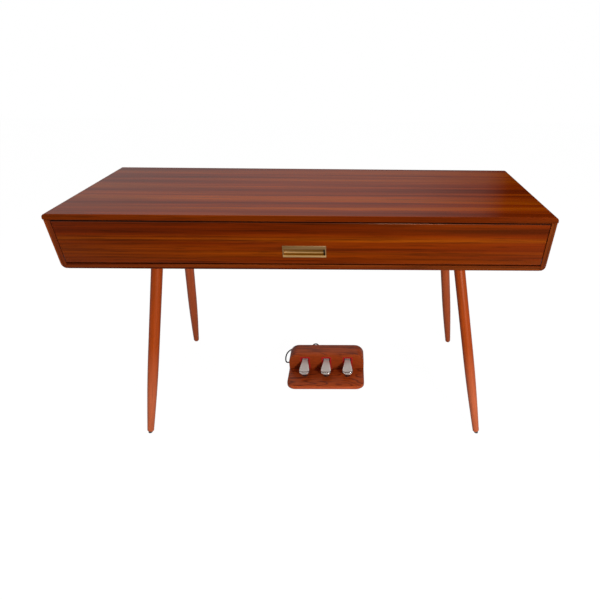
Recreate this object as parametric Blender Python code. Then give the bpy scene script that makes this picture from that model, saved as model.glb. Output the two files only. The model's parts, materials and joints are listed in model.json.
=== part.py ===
"""A digital piano built as a writing desk on four splayed legs, with a separate unit of three pedals.

Metres, +Z up. The origin is on the floor under the middle of the desk, and the front faces -Y.
The keyboard slides forward in a tray behind a drop front.
"""

import math

import bmesh
import bpy
from mathutils import Matrix, Vector

# Clearances
FIT = 0.0003
RUNNING = 0.0004
END_REVEAL = 0.002
TOP_REVEAL = 0.003
LOWER_REVEAL = 0.002

# Cabinet
DESK_WIDTH = 1.408
DESK_DEPTH = 0.530
DESK_HEIGHT = 0.770
CABINET_HEIGHT = 0.1565
TOP_BOARD = 0.0165
BOARD = 0.0145
SIDE_BOARD = 0.016
BACK_BOARD = 0.008
SIDE_SETBACK = 0.001
FRONT_SETBACK = 0.002
REAR_SETBACK = 0.006
BACK_SETBACK = 0.002
TOP_END_RADIUS = 0.012
TOP_LOWER_RADIUS = 0.0035
CORNER_RADIUS = 0.0145
ARRIS = 0.001

# Legs, with the inset of each leg's top from the desk's edges and how far it splays to its foot
LEG_INSET_X = 0.235
LEG_INSET_Y = 0.121
LEG_SPLAY_X = 0.124
LEG_SPLAY_Y = 0.162
LEG_RADIUS = 0.0175
LEG_TIP_RADIUS = 0.0112
LEG_TIP_ROUND = 0.004
LEG_TAPER = 0.285
LEG_STUD_RADIUS = 0.004
LEG_STUD_LENGTH = 0.014
LEG_SIDES = 20
PLATE_WIDTH = 0.070
PLATE_THICKNESS = 0.004
BOSS_RADIUS = 0.0195
BOSS_LENGTH = 0.022
GLIDE_RADIUS = 0.007
GLIDE_HEIGHT = 0.0055

# Drop front and its recessed pull
FRONT_BOARD = 0.016
PIN_INSET = 0.005
PIN_RADIUS = 0.002
PIN_DEPTH = 0.010
PULL_WIDTH = 0.1245
PULL_HEIGHT = 0.0346
PULL_ABOVE_EDGE = 0.0383
PULL_PLATE = 0.0012
PULL_CORNER = 0.0015
CUP_WIDTH = 0.117
CUP_HEIGHT = 0.018
CUP_DEPTH = 0.0115
CUP_WALL = 0.001
CUP_DROP = 0.002

# Drawer tray and runners
SHEET = 0.0015
TRAY_GAP = 0.004
TRAY_SWING_GAP = 0.0036
TRAY_DEPTH = 0.408
TRAY_WALL = 0.060
RUNNER_SPACE = 0.012
RUNNER_HEIGHT = 0.041
RUNNER_LENGTH = 0.400
RUNNER_ABOVE_PANEL = 0.017
RUNNER_SETBACK = 0.005
EAR_HEIGHT = 0.022
EAR_THICKNESS = 0.001

# Keys
WHITE_PITCH = 0.0235
KEY_GAP = 0.001
WHITE_LENGTH = 0.150
WHITE_HEAD = 0.050
BLACK_LENGTH = 0.095
BLACK_WIDTH = 0.0105
BLACK_RISE = 0.012
BLACK_SHIFT = 0.0027
BLACK_TAPER = 0.0008
BLACK_SLOPE = 0.006
KEY_BODY = 0.018
KEY_LIP = 0.004
KEY_LIP_REACH = 0.0015
KEY_TAIL = 0.082
KEY_TOP_ABOVE_PANEL = 0.087
KEY_SETBACK = 0.0114
KEY_PIVOT = 0.214
KEY_DIP = 0.010
BAR_DEPTH = 0.010
BAR_SETBACK = 0.001
BLACK_TAIL = 0.012
BLACK_TAIL_RISE = 0.002
BLACK_TAIL_HEIGHT = 0.006
BLACK_BODY_SHORT = 0.013
FRAME_BASE = 0.003
FRAME_SETBACK = 0.006
RAIL_DEPTH = 0.016
RAIL_MARGIN = 0.0007
RIDGE_FOOT = 0.016
RIDGE_TOP = 0.004

# Keyboard case and its controls, with the least width that its cheeks need
CASE_WALL = 0.003
CHEEK_WIDTH = 0.050
CASE_SIDE_GAP = 0.0025
CASE_REAR_SPACE = 0.030
CASE_LIP_GAP = 0.0025
DECK_HEADROOM = 0.0085
CHEEK_RISE = 0.020
CHEEK_REACH = 0.004
CONTROL_SETBACK = 0.027
KNOB_FROM_CHEEK = 0.0835
KNOB_RADIUS = 0.011
KNOB_HEIGHT = 0.006
KNOB_SHAFT_RADIUS = 0.003
KNOB_SHAFT_LENGTH = 0.012
BUTTON_FROM_CHEEK = 0.0285
BUTTON_RADIUS = 0.0055
BUTTON_HEIGHT = 0.0025
BUTTON_FLANGE = 0.0015

# Speakers and rear sockets
SPEAKER_FROM_SIDE = 0.387
SPEAKER_RADIUS = 0.033
SPEAKER_FLANGE = 0.002
SPEAKER_CONE = 0.016
SPEAKER_MAGNET_RADIUS = 0.017
SPEAKER_MAGNET = 0.012
SPEAKER_FROM_BACK = 0.006
SOUND_SLOT = 0.003
SOUND_SLOT_LENGTH = 0.048
SOUND_SLOT_PITCH = 0.009
SOUND_SLOTS = 6
JACK_PLATE_WIDTH = 0.140
JACK_PLATE = 0.003
JACK_BLOCK_WIDTH = 0.098
JACK_BLOCK_HEIGHT = 0.028
JACK_BLOCK = 0.018
JACK_DEPTH = 0.012
JACK_PITCH = 0.032
POWER_HOLE_RADIUS = 0.004
PHONES_HOLE_RADIUS = 0.0035
PEDAL_SOCKET_RADIUS = 0.0068

# Pedal unit, placed by the middle of its front edge
UNIT_X = 0.030
UNIT_FRONT = -0.062
UNIT_WIDTH = 0.316
UNIT_DEPTH = 0.2045
UNIT_BOARD = 0.0147
UNIT_CORNER = 0.035
UNIT_REAR_CORNER = 0.012
MAT = 0.003
MAT_INSET = 0.006
HOUSING_DEPTH = 0.078
HOUSING_HEIGHT = 0.0692
HOUSING_WALL = 0.010
HOUSING_RADIUS = 0.040
HOUSING_SETBACK = 0.002
SLOT_WIDTH = 0.042
SLOT_HEIGHT = 0.058
FELT = 0.0057
FELT_PROUD = 0.001
FELT_STRIP = 0.002
PEDAL_PITCH = 0.0895
PEDAL_NECK = 0.027
PEDAL_PAD = 0.042
PEDAL_THICKNESS = 0.008
PEDAL_REACH = 0.0725
PEDAL_NOSE = 0.018
PEDAL_NOSE_DROP = 0.012
PEDAL_NOSE_EDGE = 0.0035
PEDAL_SLOPE = 0.012
PEDAL_TOP = 0.0440
PEDAL_CHAMFER = 0.003
PEDAL_RELIEF = 0.0018
PEDAL_SWING = math.radians(5.5)
SHAFT_SETBACK = 0.048
SHAFT_RADIUS = 0.003
SHAFT_SEAT = 0.0055
PEDAL_BOSS_RADIUS = 0.008
PEDAL_BOSS_WIDTH = 0.024
BUMPER_RADIUS = 0.013
BUMPER_FROM_NOSE = 0.014

# Lead
CORD_DIAMETER = 0.0055
CORD_POINT_STEP = 0.0125
GROMMET_FROM_FRONT = 0.1795
GROMMET_FLANGE_RADIUS = 0.006
GROMMET_FLANGE = 0.0015
GROMMET_NOSE = 0.004
GROMMET_BODY = 0.010
COIL_X = 0.075
COIL_Y = 0.190
COIL_RADIUS = 0.0385
COIL_STEP = 0.0061
COIL_TURNS = 3
COIL_POINTS = 24
COIL_TAIL = 0.029
PLUG_RELIEF = 0.012
PLUG_BODY = 0.026
PLUG_SHELL = 0.011
PLUG_SHELL_RADIUS = 0.0066

# Planes and edges that several pieces share
UNDERSIDE = DESK_HEIGHT - CABINET_HEIGHT
CEILING = DESK_HEIGHT - TOP_BOARD
PANEL_TOP = UNDERSIDE + BOARD
SIDE_OUTER = DESK_WIDTH / 2 - SIDE_SETBACK
SIDE_INNER = SIDE_OUTER - SIDE_BOARD
FRONT = -DESK_DEPTH / 2 + FRONT_SETBACK
REAR = DESK_DEPTH / 2 - REAR_SETBACK
BACK_OUTER = REAR - BACK_SETBACK
BACK_INNER = BACK_OUTER - BACK_BOARD
FLAP_BOTTOM = PANEL_TOP + LOWER_REVEAL
FLAP_TOP = CEILING - TOP_REVEAL
FLAP_BACK = FRONT + FRONT_BOARD
FLAP_END = SIDE_INNER - END_REVEAL
FLAP_AXIS = Vector((0, FRONT + PIN_INSET, FLAP_BOTTOM + PIN_INSET))
TRAY_FRONT = FLAP_BACK + TRAY_SWING_GAP
TRAY_REAR = TRAY_FRONT + TRAY_DEPTH
TRAY_BOTTOM = PANEL_TOP + TRAY_GAP
TRAY_TOP = TRAY_BOTTOM + SHEET
TRAY_OUTER = SIDE_INNER - RUNNER_SPACE
KEY_TOP = PANEL_TOP + KEY_TOP_ABOVE_PANEL
KEY_UNDER = KEY_TOP - KEY_BODY
KEY_FRONT = TRAY_FRONT + KEY_SETBACK
KEY_HIDDEN = KEY_FRONT + WHITE_LENGTH
KEY_REAR = KEY_HIDDEN + KEY_TAIL
KEY_AXIS = Vector((0, KEY_FRONT + KEY_PIVOT, KEY_UNDER))
CASE_OUTER = TRAY_OUTER - SHEET - FIT
WHITE_COUNT = int(2 * (CASE_OUTER - CHEEK_WIDTH - CASE_SIDE_GAP) / WHITE_PITCH)
KEYBOARD_LEFT = -WHITE_COUNT * WHITE_PITCH / 2
CASE_INNER = -KEYBOARD_LEFT + CASE_SIDE_GAP
CASE_BOTTOM = TRAY_TOP + FIT
CASE_REAR = KEY_REAR + CASE_REAR_SPACE
DECK_TOP = CEILING - DECK_HEADROOM
CONTROL_Y = KEY_HIDDEN + CONTROL_SETBACK
KNOB_X = KNOB_FROM_CHEEK - CASE_INNER
BUTTON_X = BUTTON_FROM_CHEEK - CASE_INNER
SPEAKER_X = SIDE_INNER - SPEAKER_FROM_SIDE
JACK_X = FIT + JACK_PLATE_WIDTH / 2 - SIDE_INNER
UNIT_TOP = MAT + FIT + UNIT_BOARD
UNIT_REAR = UNIT_FRONT + UNIT_DEPTH
HOUSING_REAR = UNIT_REAR - HOUSING_SETBACK
HOUSING_FRONT = HOUSING_REAR - HOUSING_DEPTH
HOUSING_FOOT = UNIT_TOP + FIT
HOUSING_TOP = HOUSING_FOOT + HOUSING_HEIGHT
PEDAL_TIP = HOUSING_FRONT - PEDAL_REACH
SHAFT_Y = HOUSING_FRONT + SHAFT_SETBACK
SHAFT_Z = HOUSING_FOOT + PEDAL_TOP - PEDAL_THICKNESS + PEDAL_RELIEF
CORD_RADIUS = CORD_DIAMETER / 2
CORD_FLOOR = CORD_RADIUS + FIT

# The lead's route over the floor, each point with its height above the lead's level there: out of the
# grommet, down, round behind the unit and into a low bight
ROUTE = [
    (-0.1390, 0.1175, 0.0075),
    (-0.1445, 0.1194, 0.0058),
    (-0.1500, 0.1275, 0.0027),
    (-0.1540, 0.1405, 0.0005),
    (-0.1563, 0.1565, 0.0),
    (-0.1570, 0.1740, 0.0),
    (-0.1550, 0.1960, 0.0),
    (-0.1470, 0.2170, 0.0),
    (-0.1330, 0.2340, 0.0),
    (-0.1130, 0.2440, 0.0),
    (-0.0900, 0.2460, 0.0),
    (-0.0680, 0.2440, 0.0),
    (-0.0520, 0.2490, 0.0),
    (-0.0440, 0.2610, 0.0),
    (-0.0385, 0.2720, 0.0),
    (-0.0300, 0.2765, 0.0),
    (-0.0215, 0.2720, 0.0),
    (-0.0155, 0.2610, 0.0),
    (-0.0070, 0.2470, 0.0),
    (0.0110, 0.2350, 0.0),
    (0.0360, 0.2295, 0.0),
]

# The black keys of one octave, by the white key to their left, and how far each is shifted sideways
BLACK_AFTER = {0: -1, 1: 1, 3: -1, 4: 0, 5: 1}
NOTE_NAMES = ["c", "d", "e", "f", "g", "a", "b"]
MIDDLE_C = (WHITE_COUNT + 1 - len(NOTE_NAMES)) // 2


def clear_scene():
    for thing in list(bpy.data.objects):
        bpy.data.objects.remove(thing, do_unlink=True)


def make_material(name, colour, roughness, metallic=0.0):
    """A Principled material in linear colour."""
    made = bpy.data.materials.new(name)
    made.use_nodes = True
    shader = made.node_tree.nodes["Principled BSDF"]
    shader.inputs["Base Color"].default_value = (*colour, 1.0)
    shader.inputs["Roughness"].default_value = roughness
    shader.inputs["Metallic"].default_value = metallic
    made.diffuse_color = (*colour, 1.0)
    return made


def add_object(name, mesh, paint, origin=(0, 0, 0), smooth=None):
    """Puts a mesh in the scene, its origin moved to the given point and its place kept."""
    mesh.transform(Matrix.Translation(-Vector(origin)))
    made = bpy.data.objects.new(name, mesh)
    made.location = origin
    bpy.context.scene.collection.objects.link(made)
    if paint:
        mesh.materials.append(paint)
    if smooth:
        mesh.shade_smooth()
        mesh.set_sharp_from_angle(angle=math.radians(smooth))
    return made


def mesh_from(name, build):
    """A mesh that the given function fills, with its faces turned out."""
    work = bmesh.new()
    build(work)
    bmesh.ops.recalc_face_normals(work, faces=work.faces)
    mesh = bpy.data.meshes.new(name)
    work.to_mesh(mesh)
    work.free()
    return mesh


def middle(low, high):
    return (Vector(low) + Vector(high)) / 2


def box_mesh(name, *spans):
    """One or more separate boxes, each given by its lowest and highest corners."""

    def build(work):
        for low, high in spans:
            size = Vector(high) - Vector(low)
            place = Matrix.Translation(middle(low, high)) @ Matrix.Diagonal((*size, 1))
            bmesh.ops.create_cube(work, size=1, matrix=place)

    return mesh_from(name, build)


def add_box(name, low, high, paint):
    return add_object(name, box_mesh(name, (low, high)), paint, middle(low, high))


def arc(centre_u, centre_v, radius, start, end, steps):
    """Points on an arc, angles in degrees."""
    points = []
    for step in range(steps + 1):
        angle = math.radians(start + (end - start) * step / steps)
        points.append((centre_u + radius * math.cos(angle), centre_v + radius * math.sin(angle)))
    return points


def prism_mesh(name, outline, plane, start, end):
    """An outline drawn in XY, XZ or YZ, extruded along the third axis from start to end."""
    place = {
        "XY": lambda u, v, w: (u, v, w),
        "XZ": lambda u, v, w: (u, w, v),
        "YZ": lambda u, v, w: (w, u, v),
    }[plane]

    def build(work):
        face = work.faces.new([work.verts.new(place(u, v, start)) for u, v in outline])
        grown = bmesh.ops.extrude_face_region(work, geom=[face])["geom"]
        move = Vector(place(0, 0, end - start))
        bmesh.ops.translate(work, verts=[v for v in grown if isinstance(v, bmesh.types.BMVert)], vec=move)

    return mesh_from(name, build)


def turned_mesh(name, profile, sides, turn=None):
    """A profile of (radius, height) points from the axis back to the axis, spun round +Z."""

    def build(work):
        rings = []
        for radius, height in profile:
            if radius == 0:
                rings.append([work.verts.new((0, 0, height))])
                continue
            rings.append([
                work.verts.new((x, y, height)) for x, y in arc(0, 0, radius, 0, 360, sides)[:-1]
            ])
        for lower, upper in zip(rings, rings[1:]):
            for side in range(sides):
                corners = [
                    lower[side % len(lower)],
                    lower[(side + 1) % len(lower)],
                    upper[(side + 1) % len(upper)],
                    upper[side % len(upper)],
                ]
                work.faces.new(list(dict.fromkeys(corners)))
        if turn:
            bmesh.ops.transform(work, matrix=turn, verts=work.verts)

    return mesh_from(name, build)


def loft_mesh(name, rings):
    """Rings of equal counts joined in order, with the first and the last filled."""

    def build(work):
        made = [[work.verts.new(point) for point in ring] for ring in rings]
        for first, second in zip(made, made[1:]):
            for side in range(len(first)):
                after = (side + 1) % len(first)
                work.faces.new([first[side], first[after], second[after], second[side]])
        work.faces.new(made[0])
        work.faces.new(made[-1])

    return mesh_from(name, build)


def bevel(piece, width, segments=2):
    """Breaks the corners sharper than 50 degrees."""
    made = piece.modifiers.new("Arrises", "BEVEL")
    made.width = width
    made.segments = segments
    made.limit_method = "ANGLE"
    made.angle_limit = math.radians(50)


def combine(piece, mesh, operation):
    """Cuts a helper mesh from a piece, or joins it on."""
    helper = add_object(mesh.name, mesh, None)
    helper.hide_render = True
    helper.display_type = "WIRE"
    made = piece.modifiers.new(mesh.name, "BOOLEAN")
    made.operation = operation
    made.solver = "EXACT"
    made.object = helper


def cut(piece, mesh):
    combine(piece, mesh, "DIFFERENCE")


def join(piece, mesh):
    combine(piece, mesh, "UNION")


def x_cylinder(name, radius, left, right, y, z, sides=12):
    """A cylinder along X."""
    turn = Matrix.Translation((left, y, z)) @ Matrix.Rotation(math.pi / 2, 4, "Y")
    return turned_mesh(name, [(0, 0), (radius, 0), (radius, right - left), (0, right - left)], sides, turn)


def y_cylinder(name, radius, front, rear, x, z, sides=16):
    """A cylinder along Y."""
    turn = Matrix.Translation((x, front, z)) @ Matrix.Rotation(-math.pi / 2, 4, "X")
    return turned_mesh(name, [(0, 0), (radius, 0), (radius, rear - front), (0, rear - front)], sides, turn)


def z_cylinder(name, radius, bottom, top, x, y, sides=16):
    """A cylinder along Z."""
    turn = Matrix.Translation((x, y, bottom))
    return turned_mesh(name, [(0, 0), (radius, 0), (radius, top - bottom), (0, top - bottom)], sides, turn)


# Cabinet


def add_top_panel(wood):
    """The top board, with rounded ends that lap the side panels."""
    half = DESK_WIDTH / 2
    outline = []
    for side in (1, -1):
        upper = arc(0, 0, TOP_END_RADIUS, 90, 0, 5)
        lower = arc(0, 0, TOP_LOWER_RADIUS, 0, -90, 3)
        end = [(half - TOP_END_RADIUS + u, DESK_HEIGHT - TOP_END_RADIUS + v) for u, v in upper]
        end += [(half - TOP_LOWER_RADIUS + u, CEILING + TOP_LOWER_RADIUS + v) for u, v in lower]
        outline += [(side * u, v) for u, v in (end if side == 1 else reversed(end))]
    mesh = prism_mesh("top_panel", outline, "XZ", -DESK_DEPTH / 2, DESK_DEPTH / 2)
    bevel(add_object("top_panel", mesh, wood, (0, 0, CEILING), smooth=30), ARRIS, 1)


def add_side_panel(name, side, wood):
    """A side board with its lower outer corner rounded to meet the bottom board."""
    outer = side * SIDE_OUTER
    inner = side * SIDE_INNER
    centre = side * (SIDE_OUTER - CORNER_RADIUS)
    corner = [
        (centre + side * u, UNDERSIDE + CORNER_RADIUS + v)
        for u, v in arc(0, 0, CORNER_RADIUS, -90, 0, 5)
    ]
    outline = [(inner, CEILING - FIT), (inner, UNDERSIDE)] + corner + [(outer, CEILING - FIT)]
    mesh = prism_mesh(name, outline, "XZ", FRONT, REAR)
    bevel(add_object(name, mesh, wood, (outer, 0, UNDERSIDE), smooth=30), ARRIS, 1)


def add_bottom_panel(wood):
    """The bottom board, slotted under each speaker."""
    low = (-SIDE_INNER + FIT, FRONT, UNDERSIDE)
    high = (SIDE_INNER - FIT, REAR, PANEL_TOP)
    panel = add_box("bottom_panel", low, high, wood)
    bevel(panel, ARRIS, 1)
    slots = []
    for side in (-1, 1):
        for step in range(SOUND_SLOTS):
            x = side * SPEAKER_X + (step - (SOUND_SLOTS - 1) / 2) * SOUND_SLOT_PITCH
            front = speaker_y() - SOUND_SLOT_LENGTH / 2
            slots.append((
                (x - SOUND_SLOT / 2, front, UNDERSIDE - BOARD),
                (x + SOUND_SLOT / 2, front + SOUND_SLOT_LENGTH, PANEL_TOP + BOARD),
            ))
    cut(panel, box_mesh("sound_slots", *slots))


def add_back_panel(board):
    """The back board, from the socket plate to the right side panel."""
    low = (JACK_X + JACK_PLATE_WIDTH / 2 + FIT, BACK_INNER, PANEL_TOP + FIT)
    high = (SIDE_INNER - FIT, BACK_OUTER, CEILING - FIT)
    add_box("back_panel", low, high, board)


def add_jack_plate(plastic):
    """The moulded end of the back, with the sockets for the adapter, the pedal lead and headphones."""
    low = (JACK_X - JACK_PLATE_WIDTH / 2, BACK_OUTER - JACK_PLATE, PANEL_TOP + FIT)
    high = (JACK_X + JACK_PLATE_WIDTH / 2, BACK_OUTER, CEILING - FIT)
    plate = add_box("socket_plate", low, high, plastic)
    middle_z = (PANEL_TOP + CEILING) / 2
    join(plate, box_mesh("socket_block", (
        (JACK_X - JACK_BLOCK_WIDTH / 2, BACK_OUTER - JACK_BLOCK, middle_z - JACK_BLOCK_HEIGHT / 2),
        (JACK_X + JACK_BLOCK_WIDTH / 2, BACK_OUTER - JACK_PLATE / 2, middle_z + JACK_BLOCK_HEIGHT / 2),
    )))
    holes = (POWER_HOLE_RADIUS, PEDAL_SOCKET_RADIUS, PHONES_HOLE_RADIUS)
    for step, radius in enumerate(holes):
        x = JACK_X + (1 - step) * JACK_PITCH
        floor = BACK_OUTER - JACK_DEPTH
        cut(plate, y_cylinder(f"socket_bore_{step}", radius, floor, BACK_OUTER + JACK_PLATE, x, middle_z))


def speaker_y():
    return BACK_INNER - SPEAKER_FROM_BACK - SPEAKER_RADIUS


def add_speaker(name, side, plastic):
    """A round driver that faces down through the bottom panel: flange, cone and magnet."""
    cone_top = SPEAKER_FLANGE + SPEAKER_CONE
    profile = [
        (0, 0),
        (SPEAKER_RADIUS, 0),
        (SPEAKER_RADIUS, SPEAKER_FLANGE),
        (SPEAKER_RADIUS - SPEAKER_FLANGE, SPEAKER_FLANGE),
        (SPEAKER_MAGNET_RADIUS - SPEAKER_FLANGE, cone_top),
        (SPEAKER_MAGNET_RADIUS, cone_top),
        (SPEAKER_MAGNET_RADIUS, cone_top + SPEAKER_MAGNET),
        (0, cone_top + SPEAKER_MAGNET),
    ]
    place = (side * SPEAKER_X, speaker_y(), PANEL_TOP + FIT)
    mesh = turned_mesh(name, profile, 24, Matrix.Translation(place))
    add_object(name, mesh, plastic, place, smooth=35)


# Legs


def leg_line(side_x, side_y):
    """The leg's foot on the floor, the direction of its axis and the axis's length to the underside."""
    top = Vector((
        side_x * (DESK_WIDTH / 2 - LEG_INSET_X),
        side_y * (DESK_DEPTH / 2 - LEG_INSET_Y),
        UNDERSIDE,
    ))
    foot = top + Vector((side_x * LEG_SPLAY_X, side_y * LEG_SPLAY_Y, -UNDERSIDE))
    return foot, (top - foot).normalized(), (top - foot).length


def slanted_rings(foot, axis, radius, level, end, sides):
    """A ring where a cylinder round the leg's axis meets a level plane, and a square ring further along."""
    across = axis.orthogonal().normalized()
    over = axis.cross(across)
    level_ring = []
    square_ring = []
    for u, v in arc(0, 0, radius, 0, 360, sides)[:-1]:
        offset = across * u + over * v
        along = (level - foot.z - offset.z) / axis.z
        level_ring.append(foot + offset + axis * along)
        square_ring.append(foot + offset + axis * end)
    return [level_ring, square_ring]


def add_leg(corner, side_x, side_y, wood, steel, rubber):
    """A turned leg with its stud, the plate that it screws into and the glide on its tip."""
    foot, axis, length = leg_line(side_x, side_y)
    shoulder = length - BOSS_LENGTH - FIT
    tip = GLIDE_HEIGHT + FIT
    rim = arc(LEG_TIP_RADIUS - LEG_TIP_ROUND, tip + LEG_TIP_ROUND, LEG_TIP_ROUND, -90, 0, 3)
    profile = [(0, tip)] + rim
    start = tip + LEG_TIP_ROUND
    steps = 7
    for step in range(1, steps + 1):
        share = step / steps
        swell = math.sin(share * math.pi / 2)
        profile.append((LEG_TIP_RADIUS + (LEG_RADIUS - LEG_TIP_RADIUS) * swell, start + LEG_TAPER * share))
    profile += [
        (LEG_RADIUS, shoulder - ARRIS),
        (LEG_RADIUS - ARRIS, shoulder),
        (LEG_STUD_RADIUS, shoulder),
        (LEG_STUD_RADIUS, shoulder + LEG_STUD_LENGTH),
        (0, shoulder + LEG_STUD_LENGTH),
    ]
    name = "leg_" + corner
    leg = add_object(name, turned_mesh(name, profile, LEG_SIDES), wood, smooth=30)
    leg.location = foot
    leg.rotation_mode = "QUATERNION"
    leg.rotation_quaternion = axis.to_track_quat("Z", "Y")

    top = foot + axis * length
    name = "leg_plate_" + corner
    half = PLATE_WIDTH / 2
    plate_top = UNDERSIDE - FIT
    low = (top.x - half, top.y - half, plate_top - PLATE_THICKNESS)
    high = (top.x + half, top.y + half, plate_top)
    plate = add_box(name, low, high, steel)
    boss = slanted_rings(foot, axis, BOSS_RADIUS, plate_top - PLATE_THICKNESS / 2, length - BOSS_LENGTH, LEG_SIDES)
    join(plate, loft_mesh("boss_" + corner, boss))
    bore = LEG_STUD_RADIUS + FIT
    start = foot + axis * (shoulder - ARRIS)
    turn = Matrix.Translation(start) @ axis.to_track_quat("Z", "Y").to_matrix().to_4x4()
    depth = LEG_STUD_LENGTH + 2 * ARRIS
    hole = turned_mesh("stud_bore_" + corner, [(0, 0), (bore, 0), (bore, depth), (0, depth)], 12, turn)
    cut(plate, hole)

    name = "glide_" + corner
    glide = loft_mesh(name, slanted_rings(foot, axis, GLIDE_RADIUS, 0.0, GLIDE_HEIGHT, LEG_SIDES))
    add_object(name, glide, rubber, foot, smooth=35)


# Drop front and pull


def add_drop_front(wood):
    """The full-width front. Its lower front arris is round about the pins that it turns on."""
    lower = arc(FLAP_AXIS.y, FLAP_AXIS.z, PIN_INSET, 180, 270, 5)
    outline = lower + [(FLAP_BACK, FLAP_BOTTOM), (FLAP_BACK, FLAP_TOP), (FRONT, FLAP_TOP)]
    mesh = prism_mesh("drop_front", outline, "YZ", -FLAP_END, FLAP_END)
    front = add_object("drop_front", mesh, wood, FLAP_AXIS, smooth=30)
    bevel(front, ARRIS, 1)
    pull_z = FLAP_BOTTOM + PULL_ABOVE_EDGE - CUP_DROP
    half_width = CUP_WIDTH / 2 + CUP_WALL + FIT
    half_height = CUP_HEIGHT / 2 + CUP_WALL + FIT
    cut(front, box_mesh("pull_pocket", (
        (-half_width, FRONT - FRONT_BOARD, pull_z - half_height),
        (half_width, FRONT + CUP_DEPTH + CUP_WALL + FIT, pull_z + half_height),
    )))
    bore = PIN_RADIUS + FIT
    depth = PIN_DEPTH + FIT
    for side in (-1, 1):
        left = FLAP_END - depth if side == 1 else -FLAP_END - BOARD
        right = FLAP_END + BOARD if side == 1 else -FLAP_END + depth
        cut(front, x_cylinder("pin_bore", bore, left, right, FLAP_AXIS.y, FLAP_AXIS.z))


def cup_outline(grow, lip):
    """Half an ellipse in YZ that opens to the front, grown by a wall and started ahead by a lip."""
    centre_z = FLAP_BOTTOM + PULL_ABOVE_EDGE - CUP_DROP
    face = FRONT - FIT
    points = [(face - lip, centre_z - CUP_HEIGHT / 2 - grow)]
    for u, v in arc(0, 0, 1, -90, 90, 10):
        points.append((face + (CUP_DEPTH + grow) * u, centre_z + (CUP_HEIGHT / 2 + grow) * v))
    points.append((face - lip, centre_z + CUP_HEIGHT / 2 + grow))
    return points


def add_pull(brass):
    """The brass pull: a face plate and the trough-shaped finger cup behind it."""
    centre_z = FLAP_BOTTOM + PULL_ABOVE_EDGE
    face = FRONT - FIT
    low = (-PULL_WIDTH / 2, face - PULL_PLATE, centre_z - PULL_HEIGHT / 2)
    high = (PULL_WIDTH / 2, face, centre_z + PULL_HEIGHT / 2)
    pull = add_box("recessed_pull", low, high, brass)
    half = CUP_WIDTH / 2
    shell = cup_outline(CUP_WALL, PULL_PLATE / 2)
    join(pull, prism_mesh("cup_shell", shell, "YZ", -half - CUP_WALL, half + CUP_WALL))
    cut(pull, prism_mesh("cup_hollow", cup_outline(0, 2 * PULL_PLATE), "YZ", -half, half))


# Drawer


def add_runner(name, side, steel):
    """A fixed C-shaped runner screwed to the cabinet's side."""
    bottom = PANEL_TOP + RUNNER_ABOVE_PANEL
    top = bottom + RUNNER_HEIGHT
    outer = SIDE_INNER - FIT
    web = outer - SHEET
    lip = TRAY_OUTER + SHEET
    outline = [
        (outer, bottom),
        (outer, top),
        (lip, top),
        (lip, top - SHEET),
        (web, top - SHEET),
        (web, bottom + SHEET),
        (lip, bottom + SHEET),
        (lip, bottom),
    ]
    outline = [(side * u, v) for u, v in outline]
    start = TRAY_FRONT + RUNNER_SETBACK
    mesh = prism_mesh(name, outline, "XZ", start, start + RUNNER_LENGTH)
    add_object(name, mesh, steel, (side * outer, start, bottom))


def add_tray(steel):
    """The folded tray with its back, its moving runners, and the ears and pins for the drop front."""
    wall_top = TRAY_BOTTOM + TRAY_WALL
    inner = TRAY_OUTER - SHEET
    outline = [
        (-TRAY_OUTER, wall_top),
        (-TRAY_OUTER, TRAY_BOTTOM),
        (TRAY_OUTER, TRAY_BOTTOM),
        (TRAY_OUTER, wall_top),
        (inner, wall_top),
        (inner, TRAY_TOP),
        (-inner, TRAY_TOP),
        (-inner, wall_top),
    ]
    tray = add_object(
        "drawer_tray",
        prism_mesh("drawer_tray", outline, "XZ", TRAY_FRONT, TRAY_REAR),
        steel,
        (0, TRAY_FRONT, TRAY_BOTTOM),
    )
    half = SHEET / 2
    join(tray, box_mesh("tray_back", (
        (-inner - half, TRAY_REAR - SHEET, TRAY_TOP - half),
        (inner + half, TRAY_REAR - half / 2, wall_top - half),
    )))
    bar_low = PANEL_TOP + RUNNER_ABOVE_PANEL + SHEET + RUNNING
    bar_high = bar_low + RUNNER_HEIGHT - 2 * SHEET - 2 * RUNNING
    bar_outer = SIDE_INNER - FIT - SHEET - RUNNING
    bar_front = TRAY_FRONT + RUNNER_SETBACK
    ear_outer = (FLAP_END + SIDE_INNER + EAR_THICKNESS) / 2
    ear_inner = ear_outer - EAR_THICKNESS
    ear_front = FLAP_AXIS.y - PIN_INSET + SHEET
    ear_low = FLAP_BOTTOM + SHEET
    for name, side in (("left", -1), ("right", 1)):

        def span(x_near, x_far, y_near, y_far, z_low, z_high):
            ends = sorted((side * x_near, side * x_far))
            return (ends[0], y_near, z_low), (ends[1], y_far, z_high)

        join(tray, box_mesh("moving_runner_" + name, span(
            TRAY_OUTER - half, bar_outer, bar_front, bar_front + RUNNER_LENGTH, bar_low, bar_high
        )))
        join(tray, box_mesh("ear_step_" + name, span(
            inner + half, ear_outer, TRAY_FRONT - SHEET, TRAY_FRONT + half, ear_low, ear_low + EAR_HEIGHT
        )))
        join(tray, box_mesh("ear_" + name, span(
            ear_inner, ear_outer, ear_front, TRAY_FRONT - half, ear_low, ear_low + EAR_HEIGHT
        )))
        pin_ends = sorted((side * (FLAP_END - PIN_DEPTH), side * (ear_inner + EAR_THICKNESS / 2)))
        join(tray, x_cylinder("pin_" + name, PIN_RADIUS, *pin_ends, FLAP_AXIS.y, FLAP_AXIS.z))


# Keyboard


def black_centre(white):
    """The middle of the black key on the right of a white key, or None where there is none."""
    note = (white - MIDDLE_C) % 7
    if note not in BLACK_AFTER or not 0 <= white < WHITE_COUNT - 1:
        return None
    return KEYBOARD_LEFT + (white + 1) * WHITE_PITCH + BLACK_AFTER[note] * BLACK_SHIFT


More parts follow.
